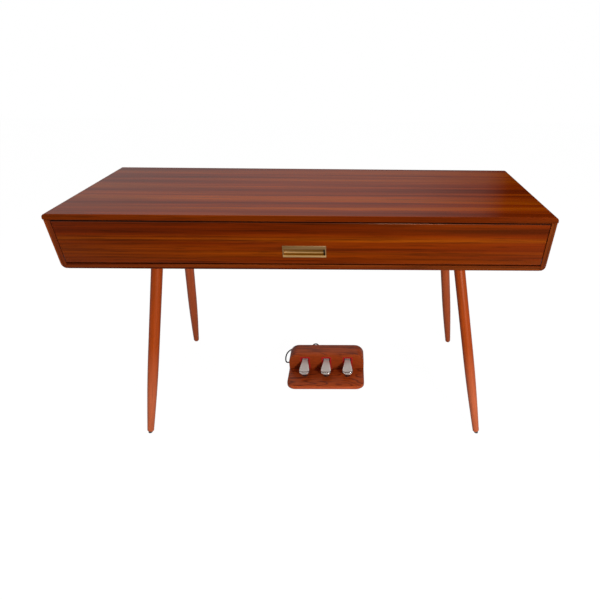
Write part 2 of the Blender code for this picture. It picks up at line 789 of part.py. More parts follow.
def add_white_shape(work, white):
    """One white key: its outline in plan, cut away beside the black keys, with a lip at the front."""
    left = KEYBOARD_LEFT + white * WHITE_PITCH + KEY_GAP / 2
    right = left + WHITE_PITCH - KEY_GAP
    head = KEY_FRONT + WHITE_HEAD
    tail_left = left
    tail_right = right
    if black_centre(white - 1) is not None:
        tail_left = black_centre(white - 1) + BLACK_WIDTH / 2 + KEY_GAP
    if black_centre(white) is not None:
        tail_right = black_centre(white) - BLACK_WIDTH / 2 - KEY_GAP
    outline = [(left, KEY_FRONT), (right, KEY_FRONT)]
    if tail_right != right:
        outline += [(right, head), (tail_right, head)]
    outline += [(tail_right, KEY_REAR), (tail_left, KEY_REAR)]
    if tail_left != left:
        outline += [(tail_left, head), (left, head)]
    levels = (
        (KEY_TOP, 0),
        (KEY_TOP - KEY_LIP, 0),
        (KEY_TOP - KEY_LIP - KEY_LIP_REACH, KEY_LIP_REACH),
        (KEY_UNDER, KEY_LIP_REACH),
    )
    rings = []
    for level, back in levels:
        rings.append([work.verts.new((x, y + (back if y == KEY_FRONT else 0), level)) for x, y in outline])
    for first, second in zip(rings, rings[1:]):
        for side in range(len(first)):
            after = (side + 1) % len(first)
            work.faces.new([first[side], first[after], second[after], second[side]])
    work.faces.new(rings[0])
    work.faces.new(rings[-1])


def add_black_shape(work, white):
    """One black key: a side profile with a sloped front and a low tail, narrowed towards its top."""
    centre = black_centre(white)
    top = KEY_TOP + BLACK_RISE
    front = KEY_HIDDEN - BLACK_LENGTH
    body_end = KEY_REAR - BLACK_BODY_SHORT
    tail_low = KEY_TOP + BLACK_TAIL_RISE
    profile = [
        (front, KEY_UNDER),
        (front, KEY_TOP),
        (front + BLACK_SLOPE, top),
        (body_end, top),
        (body_end, tail_low + BLACK_TAIL_HEIGHT),
        (KEY_REAR + BLACK_TAIL, tail_low + BLACK_TAIL_HEIGHT),
        (KEY_REAR + BLACK_TAIL, tail_low),
        (body_end, tail_low),
        (body_end, KEY_UNDER),
    ]
    rings = []
    for side in (-1, 1):
        ring = []
        for y, z in profile:
            narrow = BLACK_TAPER if z == top else 0
            ring.append(work.verts.new((centre + side * (BLACK_WIDTH / 2 - narrow), y, z)))
        rings.append(ring)
    for step in range(len(profile)):
        after = (step + 1) % len(profile)
        work.faces.new([rings[0][step], rings[0][after], rings[1][after], rings[1][step]])
    for ring in rings:
        work.faces.new(ring)


def key_mesh(name, shape, whites):
    def build(work):
        for white in whites:
            shape(work, white)

    return mesh_from(name, build)


def add_key_set(name, first, last, ivory, ebony):
    """The keys from one white key to another as two combs, each joined by a bar along its tails."""
    left = KEYBOARD_LEFT + first * WHITE_PITCH + KEY_GAP
    right = KEYBOARD_LEFT + (last + 1) * WHITE_PITCH - KEY_GAP
    white_name = f"white_keys_{name}"
    whites = add_object(white_name, key_mesh(white_name, add_white_shape, range(first, last + 1)), ivory, KEY_AXIS)
    bar_end = KEY_REAR - BAR_SETBACK
    join(whites, box_mesh("white_bar_" + name, (
        (left, bar_end - BAR_DEPTH, KEY_UNDER + KEY_LIP_REACH),
        (right, bar_end, KEY_TOP - KEY_LIP_REACH),
    )))
    blacks = [white for white in range(first, last + 1) if black_centre(white) is not None]
    black_name = f"black_keys_{name}"
    comb = add_object(black_name, key_mesh(black_name, add_black_shape, blacks), ebony, KEY_AXIS)
    bar_low = KEY_TOP + BLACK_TAIL_RISE + BAR_SETBACK
    join(comb, box_mesh("black_bar_" + name, (
        (black_centre(blacks[0]) - BLACK_WIDTH / 4, KEY_REAR + BAR_SETBACK, bar_low),
        (
            black_centre(blacks[-1]) + BLACK_WIDTH / 4,
            KEY_REAR + BLACK_TAIL - BAR_SETBACK,
            bar_low + BLACK_TAIL_HEIGHT - 2 * BAR_SETBACK,
        ),
    )))


def add_middle_octave(ivory, ebony):
    """Twelve keys that each turn by themselves."""
    for step, note in enumerate(NOTE_NAMES):
        white = MIDDLE_C + step
        name = "key_" + note
        add_object(name, key_mesh(name, add_white_shape, [white]), ivory, KEY_AXIS)
        if black_centre(white) is not None:
            name = f"key_{note}_sharp"
            add_object(name, key_mesh(name, add_black_shape, [white]), ebony, KEY_AXIS)


def add_key_frame(steel):
    """The frame under the keys, with the front rail that stops them and the ridge that they rock on."""
    half = CASE_INNER - FIT
    base = TRAY_TOP + FIT
    base_top = base + FRAME_BASE
    rail_front = KEY_FRONT + FRAME_SETBACK
    rail_drop = (KEY_PIVOT - FRAME_SETBACK) * KEY_DIP / KEY_PIVOT
    rail_top = KEY_UNDER - rail_drop - RAIL_MARGIN
    ridge = KEY_AXIS.y
    outline = [
        (rail_front, base),
        (ridge + RIDGE_FOOT / 2, base),
        (ridge + RIDGE_FOOT / 2, base_top + RIDGE_FOOT / 2),
        (ridge + RIDGE_TOP / 2, KEY_UNDER - FIT),
        (ridge - RIDGE_TOP / 2, KEY_UNDER - FIT),
        (ridge - RIDGE_FOOT / 2, base_top + RIDGE_FOOT / 2),
        (ridge - RIDGE_FOOT / 2, base_top),
        (rail_front + RAIL_DEPTH, base_top),
        (rail_front + RAIL_DEPTH, rail_top),
        (rail_front, rail_top),
    ]
    mesh = prism_mesh("key_frame", outline, "YZ", -half, half)
    add_object("key_frame", mesh, steel, (0, rail_front, base))


def add_case(plastic):
    """The keyboard case: two cheeks and a hollow deck over the keys' tails, bored for its controls."""
    cheek_front = KEY_FRONT - CHEEK_REACH
    outline = [
        (-CASE_OUTER, cheek_front),
        (-CASE_INNER, cheek_front),
        (-CASE_INNER, KEY_HIDDEN),
        (CASE_INNER, KEY_HIDDEN),
        (CASE_INNER, cheek_front),
        (CASE_OUTER, cheek_front),
        (CASE_OUTER, CASE_REAR),
        (-CASE_OUTER, CASE_REAR),
    ]
    mesh = prism_mesh("keyboard_case", outline, "XY", CASE_BOTTOM, DECK_TOP)
    case = add_object("keyboard_case", mesh, plastic, (0, cheek_front, CASE_BOTTOM))
    lip_under = KEY_TOP + BLACK_RISE + CASE_LIP_GAP
    cut(case, box_mesh("case_hollow", (
        (-CASE_INNER, KEY_HIDDEN + CASE_WALL, CASE_BOTTOM - BOARD),
        (CASE_INNER, CASE_REAR - CASE_WALL, DECK_TOP - CASE_WALL),
    )))
    cut(case, box_mesh("key_mouth", (
        (-CASE_INNER, KEY_HIDDEN - BOARD, CASE_BOTTOM - BOARD),
        (CASE_INNER, KEY_HIDDEN + 2 * CASE_WALL, lip_under),
    )))
    cut(case, box_mesh("cheek_step", (
        (-DESK_WIDTH, cheek_front - BOARD, KEY_TOP + CHEEK_RISE),
        (DESK_WIDTH, KEY_HIDDEN, DECK_TOP + BOARD),
    )))
    knob_hole = KNOB_SHAFT_RADIUS + RUNNING
    button_hole = BUTTON_RADIUS + RUNNING
    under = DECK_TOP - 2 * CASE_WALL
    over = DECK_TOP + CASE_WALL
    cut(case, z_cylinder("knob_hole", knob_hole, under, over, KNOB_X, CONTROL_Y))
    cut(case, z_cylinder("button_hole", button_hole, under, over, BUTTON_X, CONTROL_Y))


def add_knob(metal):
    """The volume knob with its shaft through the deck and a groove that points at its setting."""
    crown = KNOB_RADIUS - ARRIS
    profile = [
        (0, -KNOB_SHAFT_LENGTH),
        (KNOB_SHAFT_RADIUS, -KNOB_SHAFT_LENGTH),
        (KNOB_SHAFT_RADIUS, 0),
        (KNOB_RADIUS, 0),
        (KNOB_RADIUS, KNOB_HEIGHT - ARRIS),
        (crown, KNOB_HEIGHT),
        (0, KNOB_HEIGHT),
    ]
    place = Vector((KNOB_X, CONTROL_Y, DECK_TOP + FIT))
    mesh = turned_mesh("volume_knob", profile, 24, Matrix.Translation(place))
    knob = add_object("volume_knob", mesh, metal, place, smooth=30)
    groove = KNOB_SHAFT_RADIUS / 4
    cut(knob, box_mesh("knob_groove", (
        (KNOB_X - groove, CONTROL_Y - 2 * KNOB_RADIUS, DECK_TOP + FIT + KNOB_HEIGHT - groove),
        (KNOB_X + groove, CONTROL_Y - KNOB_RADIUS / 2, DECK_TOP + 2 * KNOB_HEIGHT),
    )))


def add_button(plastic):
    """The power button with the flange that holds it under the deck."""
    flange_top = -CASE_WALL - FIT
    profile = [
        (0, flange_top - BUTTON_FLANGE),
        (BUTTON_RADIUS + BUTTON_FLANGE, flange_top - BUTTON_FLANGE),
        (BUTTON_RADIUS + BUTTON_FLANGE, flange_top),
        (BUTTON_RADIUS, flange_top),
        (BUTTON_RADIUS, BUTTON_HEIGHT - ARRIS),
        (BUTTON_RADIUS - ARRIS, BUTTON_HEIGHT),
        (0, BUTTON_HEIGHT),
    ]
    place = Vector((BUTTON_X, CONTROL_Y, DECK_TOP))
    mesh = turned_mesh("power_button", profile, 16, Matrix.Translation(place))
    add_object("power_button", mesh, plastic, place, smooth=35)


# Pedal unit


def unit_outline(inset):
    """The base board's outline in plan: large corners at the front and small ones at the back."""
    left = UNIT_X - UNIT_WIDTH / 2 + inset
    right = UNIT_X + UNIT_WIDTH / 2 - inset
    front = UNIT_FRONT + inset
    rear = UNIT_REAR - inset
    large = UNIT_CORNER - inset
    small = UNIT_REAR_CORNER - inset
    outline = arc(left + large, front + large, large, 180, 270, 8)
    outline += arc(right - large, front + large, large, 270, 360, 8)
    outline += arc(right - small, rear - small, small, 0, 90, 4)
    outline += arc(left + small, rear - small, small, 90, 180, 4)
    return outline


def grommet_place():
    """The middle of the lead's exit, on the left edge of the base board."""
    return Vector((UNIT_X - UNIT_WIDTH / 2, UNIT_FRONT + GROMMET_FROM_FRONT, UNIT_TOP - UNIT_BOARD / 2))


def add_base(wood, rubber):
    """The base board, bored for the grommet, and the rubber mat that it stands on."""
    mat = prism_mesh("pedal_mat", unit_outline(MAT_INSET), "XY", 0, MAT)
    add_object("pedal_mat", mat, rubber, (UNIT_X, UNIT_FRONT, 0))
    board = prism_mesh("pedal_base", unit_outline(0), "XY", MAT + FIT, UNIT_TOP)
    base = add_object("pedal_base", board, wood, (UNIT_X, UNIT_FRONT, MAT), smooth=30)
    bevel(base, 2 * ARRIS, 2)
    exit_point = grommet_place()
    bore = CORD_RADIUS + ARRIS + FIT
    cut(base, x_cylinder(
        "grommet_bore", bore, exit_point.x - BOARD, exit_point.x + GROMMET_BODY + FIT, exit_point.y, exit_point.z
    ))


def add_grommet(rubber):
    """The sleeve that holds the lead in the base board's edge."""
    profile = [
        (0, -GROMMET_BODY),
        (CORD_RADIUS + ARRIS, -GROMMET_BODY),
        (CORD_RADIUS + ARRIS, FIT),
        (GROMMET_FLANGE_RADIUS, FIT),
        (GROMMET_FLANGE_RADIUS, FIT + GROMMET_FLANGE),
        (CORD_RADIUS + ARRIS, FIT + GROMMET_FLANGE),
        (CORD_RADIUS + ARRIS / 2, FIT + GROMMET_FLANGE + GROMMET_NOSE),
        (0, FIT + GROMMET_FLANGE + GROMMET_NOSE),
    ]
    place = grommet_place()
    turn = Matrix.Translation(place) @ Matrix.Rotation(-math.pi / 2, 4, "Y")
    add_object("cord_grommet", turned_mesh("cord_grommet", profile, 16, turn), rubber, place, smooth=35)


def rounded_top(half, top, radius, steps):
    """An outline in XZ about the unit's middle, square at its foot and round at its top corners."""
    outline = [(UNIT_X - half, HOUSING_FOOT), (UNIT_X + half, HOUSING_FOOT)]
    outline += arc(UNIT_X + half - radius, top - radius, radius, 0, 90, steps)
    outline += arc(UNIT_X - half + radius, top - radius, radius, 90, 180, steps)
    return outline


def pedal_places():
    """The name of each pedal and the middle of its slot."""
    names = ("soft", "sostenuto", "sustain")
    return [(name, UNIT_X + (step - 1) * PEDAL_PITCH) for step, name in enumerate(names)]


def add_housing(wood):
    """The housing: a shell open at its foot, with three slots and seats for the shaft."""
    half = UNIT_WIDTH / 2
    outer = rounded_top(half, HOUSING_TOP, HOUSING_RADIUS, 7)
    mesh = prism_mesh("pedal_housing", outer, "XZ", HOUSING_FRONT, HOUSING_REAR)
    housing = add_object("pedal_housing", mesh, wood, (UNIT_X, HOUSING_FRONT, HOUSING_FOOT), smooth=30)
    bevel(housing, 1.5 * ARRIS, 2)
    hollow = rounded_top(half - HOUSING_WALL, HOUSING_TOP - HOUSING_WALL, HOUSING_RADIUS - HOUSING_WALL, 4)
    hollow = [(u, v - BOARD if v == HOUSING_FOOT else v) for u, v in hollow]
    front = HOUSING_FRONT + HOUSING_WALL
    rear = HOUSING_REAR - HOUSING_WALL
    cut(housing, prism_mesh("housing_hollow", hollow, "XZ", front, rear))
    slots = []
    for _, x in pedal_places():
        slots.append((
            (x - SLOT_WIDTH / 2, HOUSING_FRONT - BOARD, HOUSING_FOOT - BOARD),
            (x + SLOT_WIDTH / 2, front + HOUSING_WALL / 2, HOUSING_FOOT + SLOT_HEIGHT),
        ))
    cut(housing, box_mesh("pedal_slots", *slots))
    reach = half - HOUSING_WALL + SHAFT_SEAT + FIT
    seat = SHAFT_RADIUS + FIT
    cut(housing, x_cylinder("shaft_seats", seat, UNIT_X - reach, UNIT_X + reach, SHAFT_Y, SHAFT_Z))


def add_shaft(steel):
    """The rod that the three pedals turn on, seated in the housing's ends."""
    reach = UNIT_WIDTH / 2 - HOUSING_WALL + SHAFT_SEAT
    mesh = x_cylinder("pedal_shaft", SHAFT_RADIUS, UNIT_X - reach, UNIT_X + reach, SHAFT_Y, SHAFT_Z, 16)
    add_object("pedal_shaft", mesh, steel, (UNIT_X, SHAFT_Y, SHAFT_Z), smooth=35)


def add_felt(felt):
    """Felt round the top and sides of each slot, on one strip behind the housing's front."""
    rear = HOUSING_FRONT + HOUSING_WALL + FIT
    half = SLOT_WIDTH / 2 - FIT
    foot = HOUSING_FOOT + FIT
    top = HOUSING_FOOT + SLOT_HEIGHT - FIT
    inner = half - FELT
    first = pedal_places()[0][1]
    last = pedal_places()[-1][1]
    low = (first - half, rear, top - FELT)
    high = (last + half, rear + FELT_STRIP, top)
    liner = add_box("pedal_felt", low, high, felt)
    for name, x in pedal_places():
        arch = [
            (x - half, foot),
            (x - inner, foot),
            (x - inner, top - FELT),
            (x + inner, top - FELT),
            (x + inner, foot),
            (x + half, foot),
            (x + half, top),
            (x - half, top),
        ]
        front = HOUSING_FRONT - FELT_PROUD
        join(liner, prism_mesh("felt_arch_" + name, arch, "XZ", front, rear + FELT_STRIP / 2))


def pedal_top(y):
    """The height of a pedal's top face: level in the housing, sloping outside it, round at the nose."""
    level = HOUSING_FOOT + PEDAL_TOP
    nose_start = PEDAL_TIP + PEDAL_NOSE
    if y >= HOUSING_FRONT:
        return level
    share = min((HOUSING_FRONT - y) / (HOUSING_FRONT - nose_start), 1)
    height = level - PEDAL_SLOPE * share
    if y < nose_start:
        ahead = min((nose_start - y) / PEDAL_NOSE, 1)
        height -= PEDAL_NOSE_DROP * (1 - math.sqrt(1 - ahead * ahead))
    return height


def pedal_bottom(y):
    """The height of a pedal's underside, which thins to an edge under the nose."""
    nose_start = PEDAL_TIP + PEDAL_NOSE
    if y >= nose_start:
        return pedal_top(y) - PEDAL_THICKNESS
    ahead = min((nose_start - y) / PEDAL_NOSE, 1)
    edge = pedal_top(PEDAL_TIP) - PEDAL_NOSE_EDGE
    return (pedal_top(nose_start) - PEDAL_THICKNESS) * (1 - ahead) + edge * ahead


def pedal_half_width(y):
    """Half a pedal's width: a neck in the slot that widens to the pad, with a full round nose."""
    nose_start = PEDAL_TIP + PEDAL_NOSE
    if y >= HOUSING_FRONT:
        return PEDAL_NECK / 2
    if y >= nose_start:
        share = (HOUSING_FRONT - y) / (HOUSING_FRONT - nose_start)
        return (PEDAL_NECK + (PEDAL_PAD - PEDAL_NECK) * share) / 2
    ahead = (nose_start - y) / PEDAL_NOSE
    return PEDAL_PAD / 2 * math.sqrt(1 - ahead**4)


def add_pedal(name, x, chrome):
    """A pedal lofted from its neck to its rolled nose, with the boss that turns on the shaft."""
    nose_start = PEDAL_TIP + PEDAL_NOSE
    stations = [SHAFT_Y, HOUSING_FRONT + HOUSING_WALL, HOUSING_FRONT]
    stations += [HOUSING_FRONT + (nose_start - HOUSING_FRONT) * step / 4 for step in range(1, 5)]
    nose = [math.sin(math.radians(angle)) for angle in (20, 38, 54, 67, 77, 84)]
    stations += [nose_start - PEDAL_NOSE * share for share in nose]
    rings = []
    for y in stations:
        half = pedal_half_width(y)
        top = pedal_top(y)
        bottom = pedal_bottom(y)
        rim = min(PEDAL_CHAMFER, half / 2)
        relief = min(PEDAL_RELIEF, (top - bottom) / 3)
        rings.append([
            (x - half, y, top - relief),
            (x - half, y, bottom + relief / 2),
            (x - half + rim / 2, y, bottom),
            (x + half - rim / 2, y, bottom),
            (x + half, y, bottom + relief / 2),
            (x + half, y, top - relief),
            (x + half - rim / 3, y, top - relief / 3),
            (x + half - rim, y, top),
            (x - half + rim, y, top),
            (x - half + rim / 3, y, top - relief / 3),
        ])
    pivot = (x, SHAFT_Y, SHAFT_Z)
    pedal = add_object("pedal_" + name, loft_mesh("pedal_" + name, rings), chrome, pivot, smooth=40)
    half_boss = PEDAL_BOSS_WIDTH / 2
    join(pedal, x_cylinder("pedal_boss_" + name, PEDAL_BOSS_RADIUS, x - half_boss, x + half_boss, SHAFT_Y, SHAFT_Z, 20))
    reach = PEDAL_NECK
    cut(pedal, x_cylinder("pedal_bore_" + name, SHAFT_RADIUS + FIT, x - reach, x + reach, SHAFT_Y, SHAFT_Z, 16))


def add_bumper(name, x, rubber):
    """The rubber buffer that a pressed pedal comes down on, as high as the pressed pedal leaves room."""
    centre = PEDAL_TIP + BUMPER_FROM_NOSE + BUMPER_RADIUS
    front = centre - BUMPER_RADIUS
    arm = front - SHAFT_Y
    drop = pedal_bottom(front) - SHAFT_Z
    pressed = SHAFT_Z + arm * math.sin(PEDAL_SWING) + drop * math.cos(PEDAL_SWING)
    height = pressed - 2 * RUNNING - UNIT_TOP - FIT
    profile = [
        (0, 0),
        (BUMPER_RADIUS, 0),
        (BUMPER_RADIUS, height - 2 * ARRIS),
        (BUMPER_RADIUS - 2 * ARRIS, height),
        (0, height),
    ]
    place = Vector((x, centre, UNIT_TOP + FIT))
    mesh = turned_mesh("bumper_" + name, profile, 20, Matrix.Translation(place))
    add_object("bumper_" + name, mesh, rubber, place, smooth=35)


# Lead


def smooth_route(points, step):
    """Points about one step apart on a smooth curve through the given points."""
    guides = [Vector(point) for point in points]
    guides = [2 * guides[0] - guides[1]] + guides + [2 * guides[-1] - guides[-2]]
    path = [guides[1]]
    for before, start, end, after in zip(guides, guides[1:], guides[2:], guides[3:]):
        pieces = max(1, round((end - start).length / step))
        for piece in range(1, pieces + 1):
            t = piece / pieces
            bend = 2 * start + (end - before) * t
            bend += (2 * before - 5 * start + 4 * end - after) * t**2
            bend += (3 * start - before - 3 * end + after) * t**3
            path.append(bend / 2)
    return path


def coil_path():
    """The coil's turns: inwards on the floor, up a layer at the middle, and outwards on top."""
    start = Vector((COIL_X, COIL_Y + COIL_RADIUS, CORD_FLOOR))
    path = [start - Vector((CORD_DIAMETER, 0, 0))]
    for step in range(2 * COIL_TURNS * COIL_POINTS + 1):
        turn = step / COIL_POINTS
        radius = COIL_RADIUS - COIL_STEP * (COIL_TURNS - abs(turn - COIL_TURNS))
        climb = min(max((turn - COIL_TURNS) / 0.5 + 0.5, 0), 1)
        climb = climb * climb * (3 - 2 * climb)
        angle = math.pi / 2 - 2 * math.pi * turn
        path.append(Vector((
            COIL_X + radius * math.cos(angle),
            COIL_Y + radius * math.sin(angle),
            CORD_FLOOR + COIL_STEP * climb,
        )))
    path.append(path[-1] + Vector((COIL_TAIL / 2, 0, 0)))
    path.append(path[-1] + Vector((COIL_TAIL / 2, 0, 0)))
    return path


def least_gap(path, apart):
    """The least distance between the tube's surfaces at points more than a number of steps apart."""
    gaps = []
    for index, point in enumerate(path):
        for other in path[index + apart:]:
            gaps.append((point - other).length - CORD_DIAMETER)
    return min(gaps)


def path_length(path):
    return sum((after - before).length for before, after in zip(path, path[1:]))


def add_tube(name, path, resolution, rubber):
    """A round tube along a path, with filled ends."""
    curve = bpy.data.curves.new(name, "CURVE")
    curve.dimensions = "3D"
    curve.bevel_depth = CORD_RADIUS
    curve.bevel_resolution = resolution
    curve.use_fill_caps = True
    spline = curve.splines.new("POLY")
    spline.points.add(len(path) - 1)
    for point, place in zip(spline.points, path):
        point.co = (*place, 1)
    curve.materials.append(rubber)
    tube = bpy.data.objects.new(name, curve)
    bpy.context.scene.collection.objects.link(tube)


def add_lead(rubber):
    """The lead from the grommet to its coil behind the unit, and the plug on the coil's end."""
    exit_point = grommet_place()
    exit_point.x -= FIT + GROMMET_FLANGE + GROMMET_NOSE + FIT
    coil = coil_path()
    meeting = coil[0] - Vector((FIT, 0, 0))
    before = meeting - Vector((CORD_DIAMETER, 0, 0))
    laid = [(x, y, CORD_FLOOR + rise) for x, y, rise in ROUTE]
    route = smooth_route([exit_point, *laid, before, meeting], CORD_POINT_STEP)
    add_tube("pedal_cord", route, 2, rubber)
    add_tube("pedal_cord_coil", coil, 1, rubber)
    print("least gap in the coil, mm:", round(1000 * least_gap(coil, COIL_POINTS // 2), 3))
    print("lead length, m:", round(path_length(route) + path_length(coil), 3))
    radius = CORD_FLOOR + COIL_STEP - FIT
    profile = [
        (0, 0),
        (CORD_RADIUS + ARRIS, 0),
        (radius - 2 * ARRIS, PLUG_RELIEF),
        (radius - ARRIS, PLUG_RELIEF),
        (radius, PLUG_RELIEF + ARRIS),
        (radius, PLUG_RELIEF + PLUG_BODY),
        (PLUG_SHELL_RADIUS, PLUG_RELIEF + PLUG_BODY),
        (PLUG_SHELL_RADIUS, PLUG_RELIEF + PLUG_BODY + PLUG_SHELL),
        (0, PLUG_RELIEF + PLUG_BODY + PLUG_SHELL),
    ]
    place = coil[-1] + Vector((FIT, 0, 0))
    turn = Matrix.Translation(place) @ Matrix.Rotation(math.pi / 2, 4, "Y")
    add_object("pedal_plug", turned_mesh("pedal_plug", profile, 20, turn), rubber, place, smooth=35)


def build():
    clear_scene()
    veneer = make_material("walnut veneer", (0.13, 0.026, 0.005), 0.3)
    leg_wood = make_material("stained beech", (0.37, 0.05, 0.004), 0.35)
    board = make_material("fibreboard", (0.09, 0.03, 0.012), 0.7)
    brass = make_material("brushed brass", (0.55, 0.35, 0.12), 0.35, 1.0)
    steel = make_material("zinc-plated steel", (0.45, 0.45, 0.46), 0.4, 1.0)
    black_steel = make_material("black steel", (0.02, 0.02, 0.02), 0.5, 1.0)
    black_plastic = make_material("black plastic", (0.015, 0.015, 0.016), 0.45)
    ivory = make_material("white key plastic", (0.82, 0.81, 0.77), 0.2)
    ebony = make_material("black key plastic", (0.01, 0.01, 0.01), 0.35)
    unit_wood = make_material("varnished ash", (0.24, 0.055, 0.02), 0.4)
    chrome = make_material("satin chrome", (0.6, 0.57, 0.54), 0.2, 1.0)
    felt = make_material("red felt", (0.35, 0.002, 0.004), 0.95)
    rubber = make_material("black rubber", (0.012, 0.012, 0.012), 0.7)

    add_top_panel(veneer)
    add_side_panel("side_panel_left", -1, veneer)
    add_side_panel("side_panel_right", 1, veneer)
    add_bottom_panel(veneer)
    add_back_panel(board)
    add_jack_plate(black_plastic)
    add_speaker("speaker_left", -1, black_plastic)
    add_speaker("speaker_right", 1, black_plastic)
    corners = (("front_left", -1, -1), ("front_right", 1, -1), ("rear_left", -1, 1), ("rear_right", 1, 1))
    for corner, side_x, side_y in corners:
        add_leg(corner, side_x, side_y, leg_wood, black_steel, rubber)

    add_drop_front(veneer)
    add_pull(brass)
    add_runner("runner_left", -1, steel)
    add_runner("runner_right", 1, steel)
    add_tray(black_steel)
    add_key_frame(steel)
    add_case(black_plastic)
    add_key_set("low", 0, MIDDLE_C - 1, ivory, ebony)
    add_middle_octave(ivory, ebony)
    add_key_set("high", MIDDLE_C + len(NOTE_NAMES), WHITE_COUNT - 1, ivory, ebony)
    add_knob(steel)
    add_button(black_plastic)

    add_base(unit_wood, rubber)
    add_housing(unit_wood)
    add_shaft(steel)
    add_felt(felt)
    for name, x in pedal_places():
        add_pedal(name, x, chrome)
        add_bumper(name, x, rubber)
    add_grommet(rubber)
    add_lead(rubber)


if __name__ == "__main__":
    build()
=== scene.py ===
"""A desk piano's finishes and finer pieces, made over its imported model, with a stage to view it on."""

import json
import math

import bpy
from bpy.props import FloatProperty, FloatVectorProperty, PointerProperty
from bpy.types import Operator, Panel, PropertyGroup
from mathutils import Matrix, Vector


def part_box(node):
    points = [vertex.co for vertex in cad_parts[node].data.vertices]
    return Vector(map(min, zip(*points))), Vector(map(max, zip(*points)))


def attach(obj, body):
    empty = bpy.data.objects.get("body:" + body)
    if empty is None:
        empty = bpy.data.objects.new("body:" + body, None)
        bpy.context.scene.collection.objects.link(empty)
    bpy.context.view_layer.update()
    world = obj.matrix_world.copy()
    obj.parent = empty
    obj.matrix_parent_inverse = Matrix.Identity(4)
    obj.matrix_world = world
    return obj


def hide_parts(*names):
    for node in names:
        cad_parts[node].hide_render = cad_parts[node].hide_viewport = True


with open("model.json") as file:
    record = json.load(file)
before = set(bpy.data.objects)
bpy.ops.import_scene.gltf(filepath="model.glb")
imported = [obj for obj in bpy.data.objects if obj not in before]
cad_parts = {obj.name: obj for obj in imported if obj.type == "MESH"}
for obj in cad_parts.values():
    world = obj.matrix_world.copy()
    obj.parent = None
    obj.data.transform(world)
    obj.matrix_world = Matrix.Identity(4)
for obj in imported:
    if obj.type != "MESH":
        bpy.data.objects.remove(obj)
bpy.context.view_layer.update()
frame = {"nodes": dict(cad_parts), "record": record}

bl_info = {
    "name": "Desk Piano",
    "version": (1, 0, 0),
    "blender": (4, 5, 0),
    "location": "View3D > Sidebar > Desk Piano",
    "description": "Models and finishes a desk-style digital piano and its pedal unit",
    "category": "Object",
}

BODY_OF = {
    node: body
    for body, nodes in frame["record"]["behaviour"]["bodies"].items()
    for node in nodes
}
CORNERS = {"front_left": (-1, -1), "front_right": (1, -1), "rear_left": (-1, 1), "rear_right": (1, 1)}


def linear(code):
    """An sRGB hex colour as linear red, green and blue."""
    shares = [int(code[start:start + 2], 16) / 255 for start in (1, 3, 5)]
    return tuple(s / 12.92 if s <= 0.04045 else ((s + 0.055) / 1.055) ** 2.4 for s in shares)


def opaque(colour):
    """A linear colour, or an sRGB hex one, as the four values that a node takes."""
    return (*(linear(colour) if isinstance(colour, str) else colour), 1.0)


def colour_property(name, description, code):
    """A colour that a user can change."""
    return FloatVectorProperty(
        name=name, description=description, subtype="COLOR", size=3, min=0.0, max=1.0, default=linear(code)
    )


def length_property(name, description, default):
    """A length that a user can change, in metres."""
    return FloatProperty(name=name, description=description, default=default, unit="LENGTH", precision=4)


def power_property(name, description, default):
    """A lamp's power that a user can change, in watts."""
    return FloatProperty(name=name, description=description, default=default, unit="POWER")


class DeskPianoColours(PropertyGroup):
    """Colours of the finishes."""

    veneer_pale: colour_property("Veneer, pale streaks", "Pale streaks of the cabinet's veneer", "#94480A")
    veneer_body: colour_property("Veneer, body", "Main colour of the cabinet's veneer", "#732904")
    veneer_dark: colour_property("Veneer, dark streaks", "Dark streaks of the cabinet's veneer", "#4E1603")
    # The front legs' foot colour is their stain paled by painted light
    leg_foot_painted_light: colour_property("Leg, foot", "Stained beech of the front legs near the floor", "#C0603A")
    leg_top: colour_property("Leg, top", "Stained beech of the front legs near the cabinet", "#A63E00")
    leg_rear: colour_property("Leg, rear", "Stained beech of the rear legs", "#B25028")
    unit_pale: colour_property("Pedal unit, pale grain", "Earlywood of the pedal unit's boards", "#B0481A")
    unit_dark: colour_property("Pedal unit, dark grain", "Latewood of the pedal unit's boards", "#6A2410")
    felt: colour_property("Felt", "Wool felt in the pedal slots and over the keys", "#BC0202")
    brass: colour_property("Brass", "Metal of the recessed pull", "#B48B4E")
    nickel: colour_property("Nickel", "Plating of the pedals", "#DAD0CA")


class DeskPianoSizes(PropertyGroup):
    """Sizes of the finer pieces."""

    front_arris: length_property("Front arris", "Radius on the edges of the drop front", 0.0007)
    key_arris: length_property("Key arris", "Radius on the edges of the keys", 0.0008)
    leg_radius: length_property("Leg radius", "Radius of a leg over its upper half", 0.0175)
    leg_tip_radius: length_property("Leg tip radius", "Radius of a leg where its glide sits", 0.0112)
    cord_length: length_property("Lead length", "Whole length of the pedal lead", 1.514)
    cord_diameter: length_property("Lead diameter", "Outer diameter of the pedal lead", 0.0055)


class DeskPianoStage(PropertyGroup):
    """Camera and lamps."""

    lens: FloatProperty(
        name="Lens", description="Focal length on a 36 mm sensor", default=27.33, unit="CAMERA"
    )
    key_power: power_property("Key lamp", "Power of the low lamp at the right", 84.0)
    top_power: power_property("Top lamp", "Power of the softbox overhead", 44.0)
    fill_power: power_property("Fill lamp", "Power of the lamp at the left", 4.0)


def colours():
    return bpy.context.scene.desk_piano_colours


def sizes():
    return bpy.context.scene.desk_piano_sizes


def stage_settings():
    return bpy.context.scene.desk_piano_stage


# Mesh helpers


def deselect():
    if bpy.context.object and bpy.context.object.mode != "OBJECT":
        bpy.ops.object.mode_set(mode="OBJECT")
    bpy.ops.object.select_all(action="DESELECT")


def make_active(piece):
    deselect()
    piece.select_set(True)
    bpy.context.view_layer.objects.active = piece


def new_piece(name):
    """Names the primitive that was just added."""
    piece = bpy.context.object
    piece.name = name
    piece.data.name = name
    return piece


def apply_modifier(piece, kind, **settings):
    make_active(piece)
    made = piece.modifiers.new(kind, kind)
    for key, value in settings.items():
        setattr(made, key, value)
    bpy.ops.object.modifier_apply(modifier=made.name)


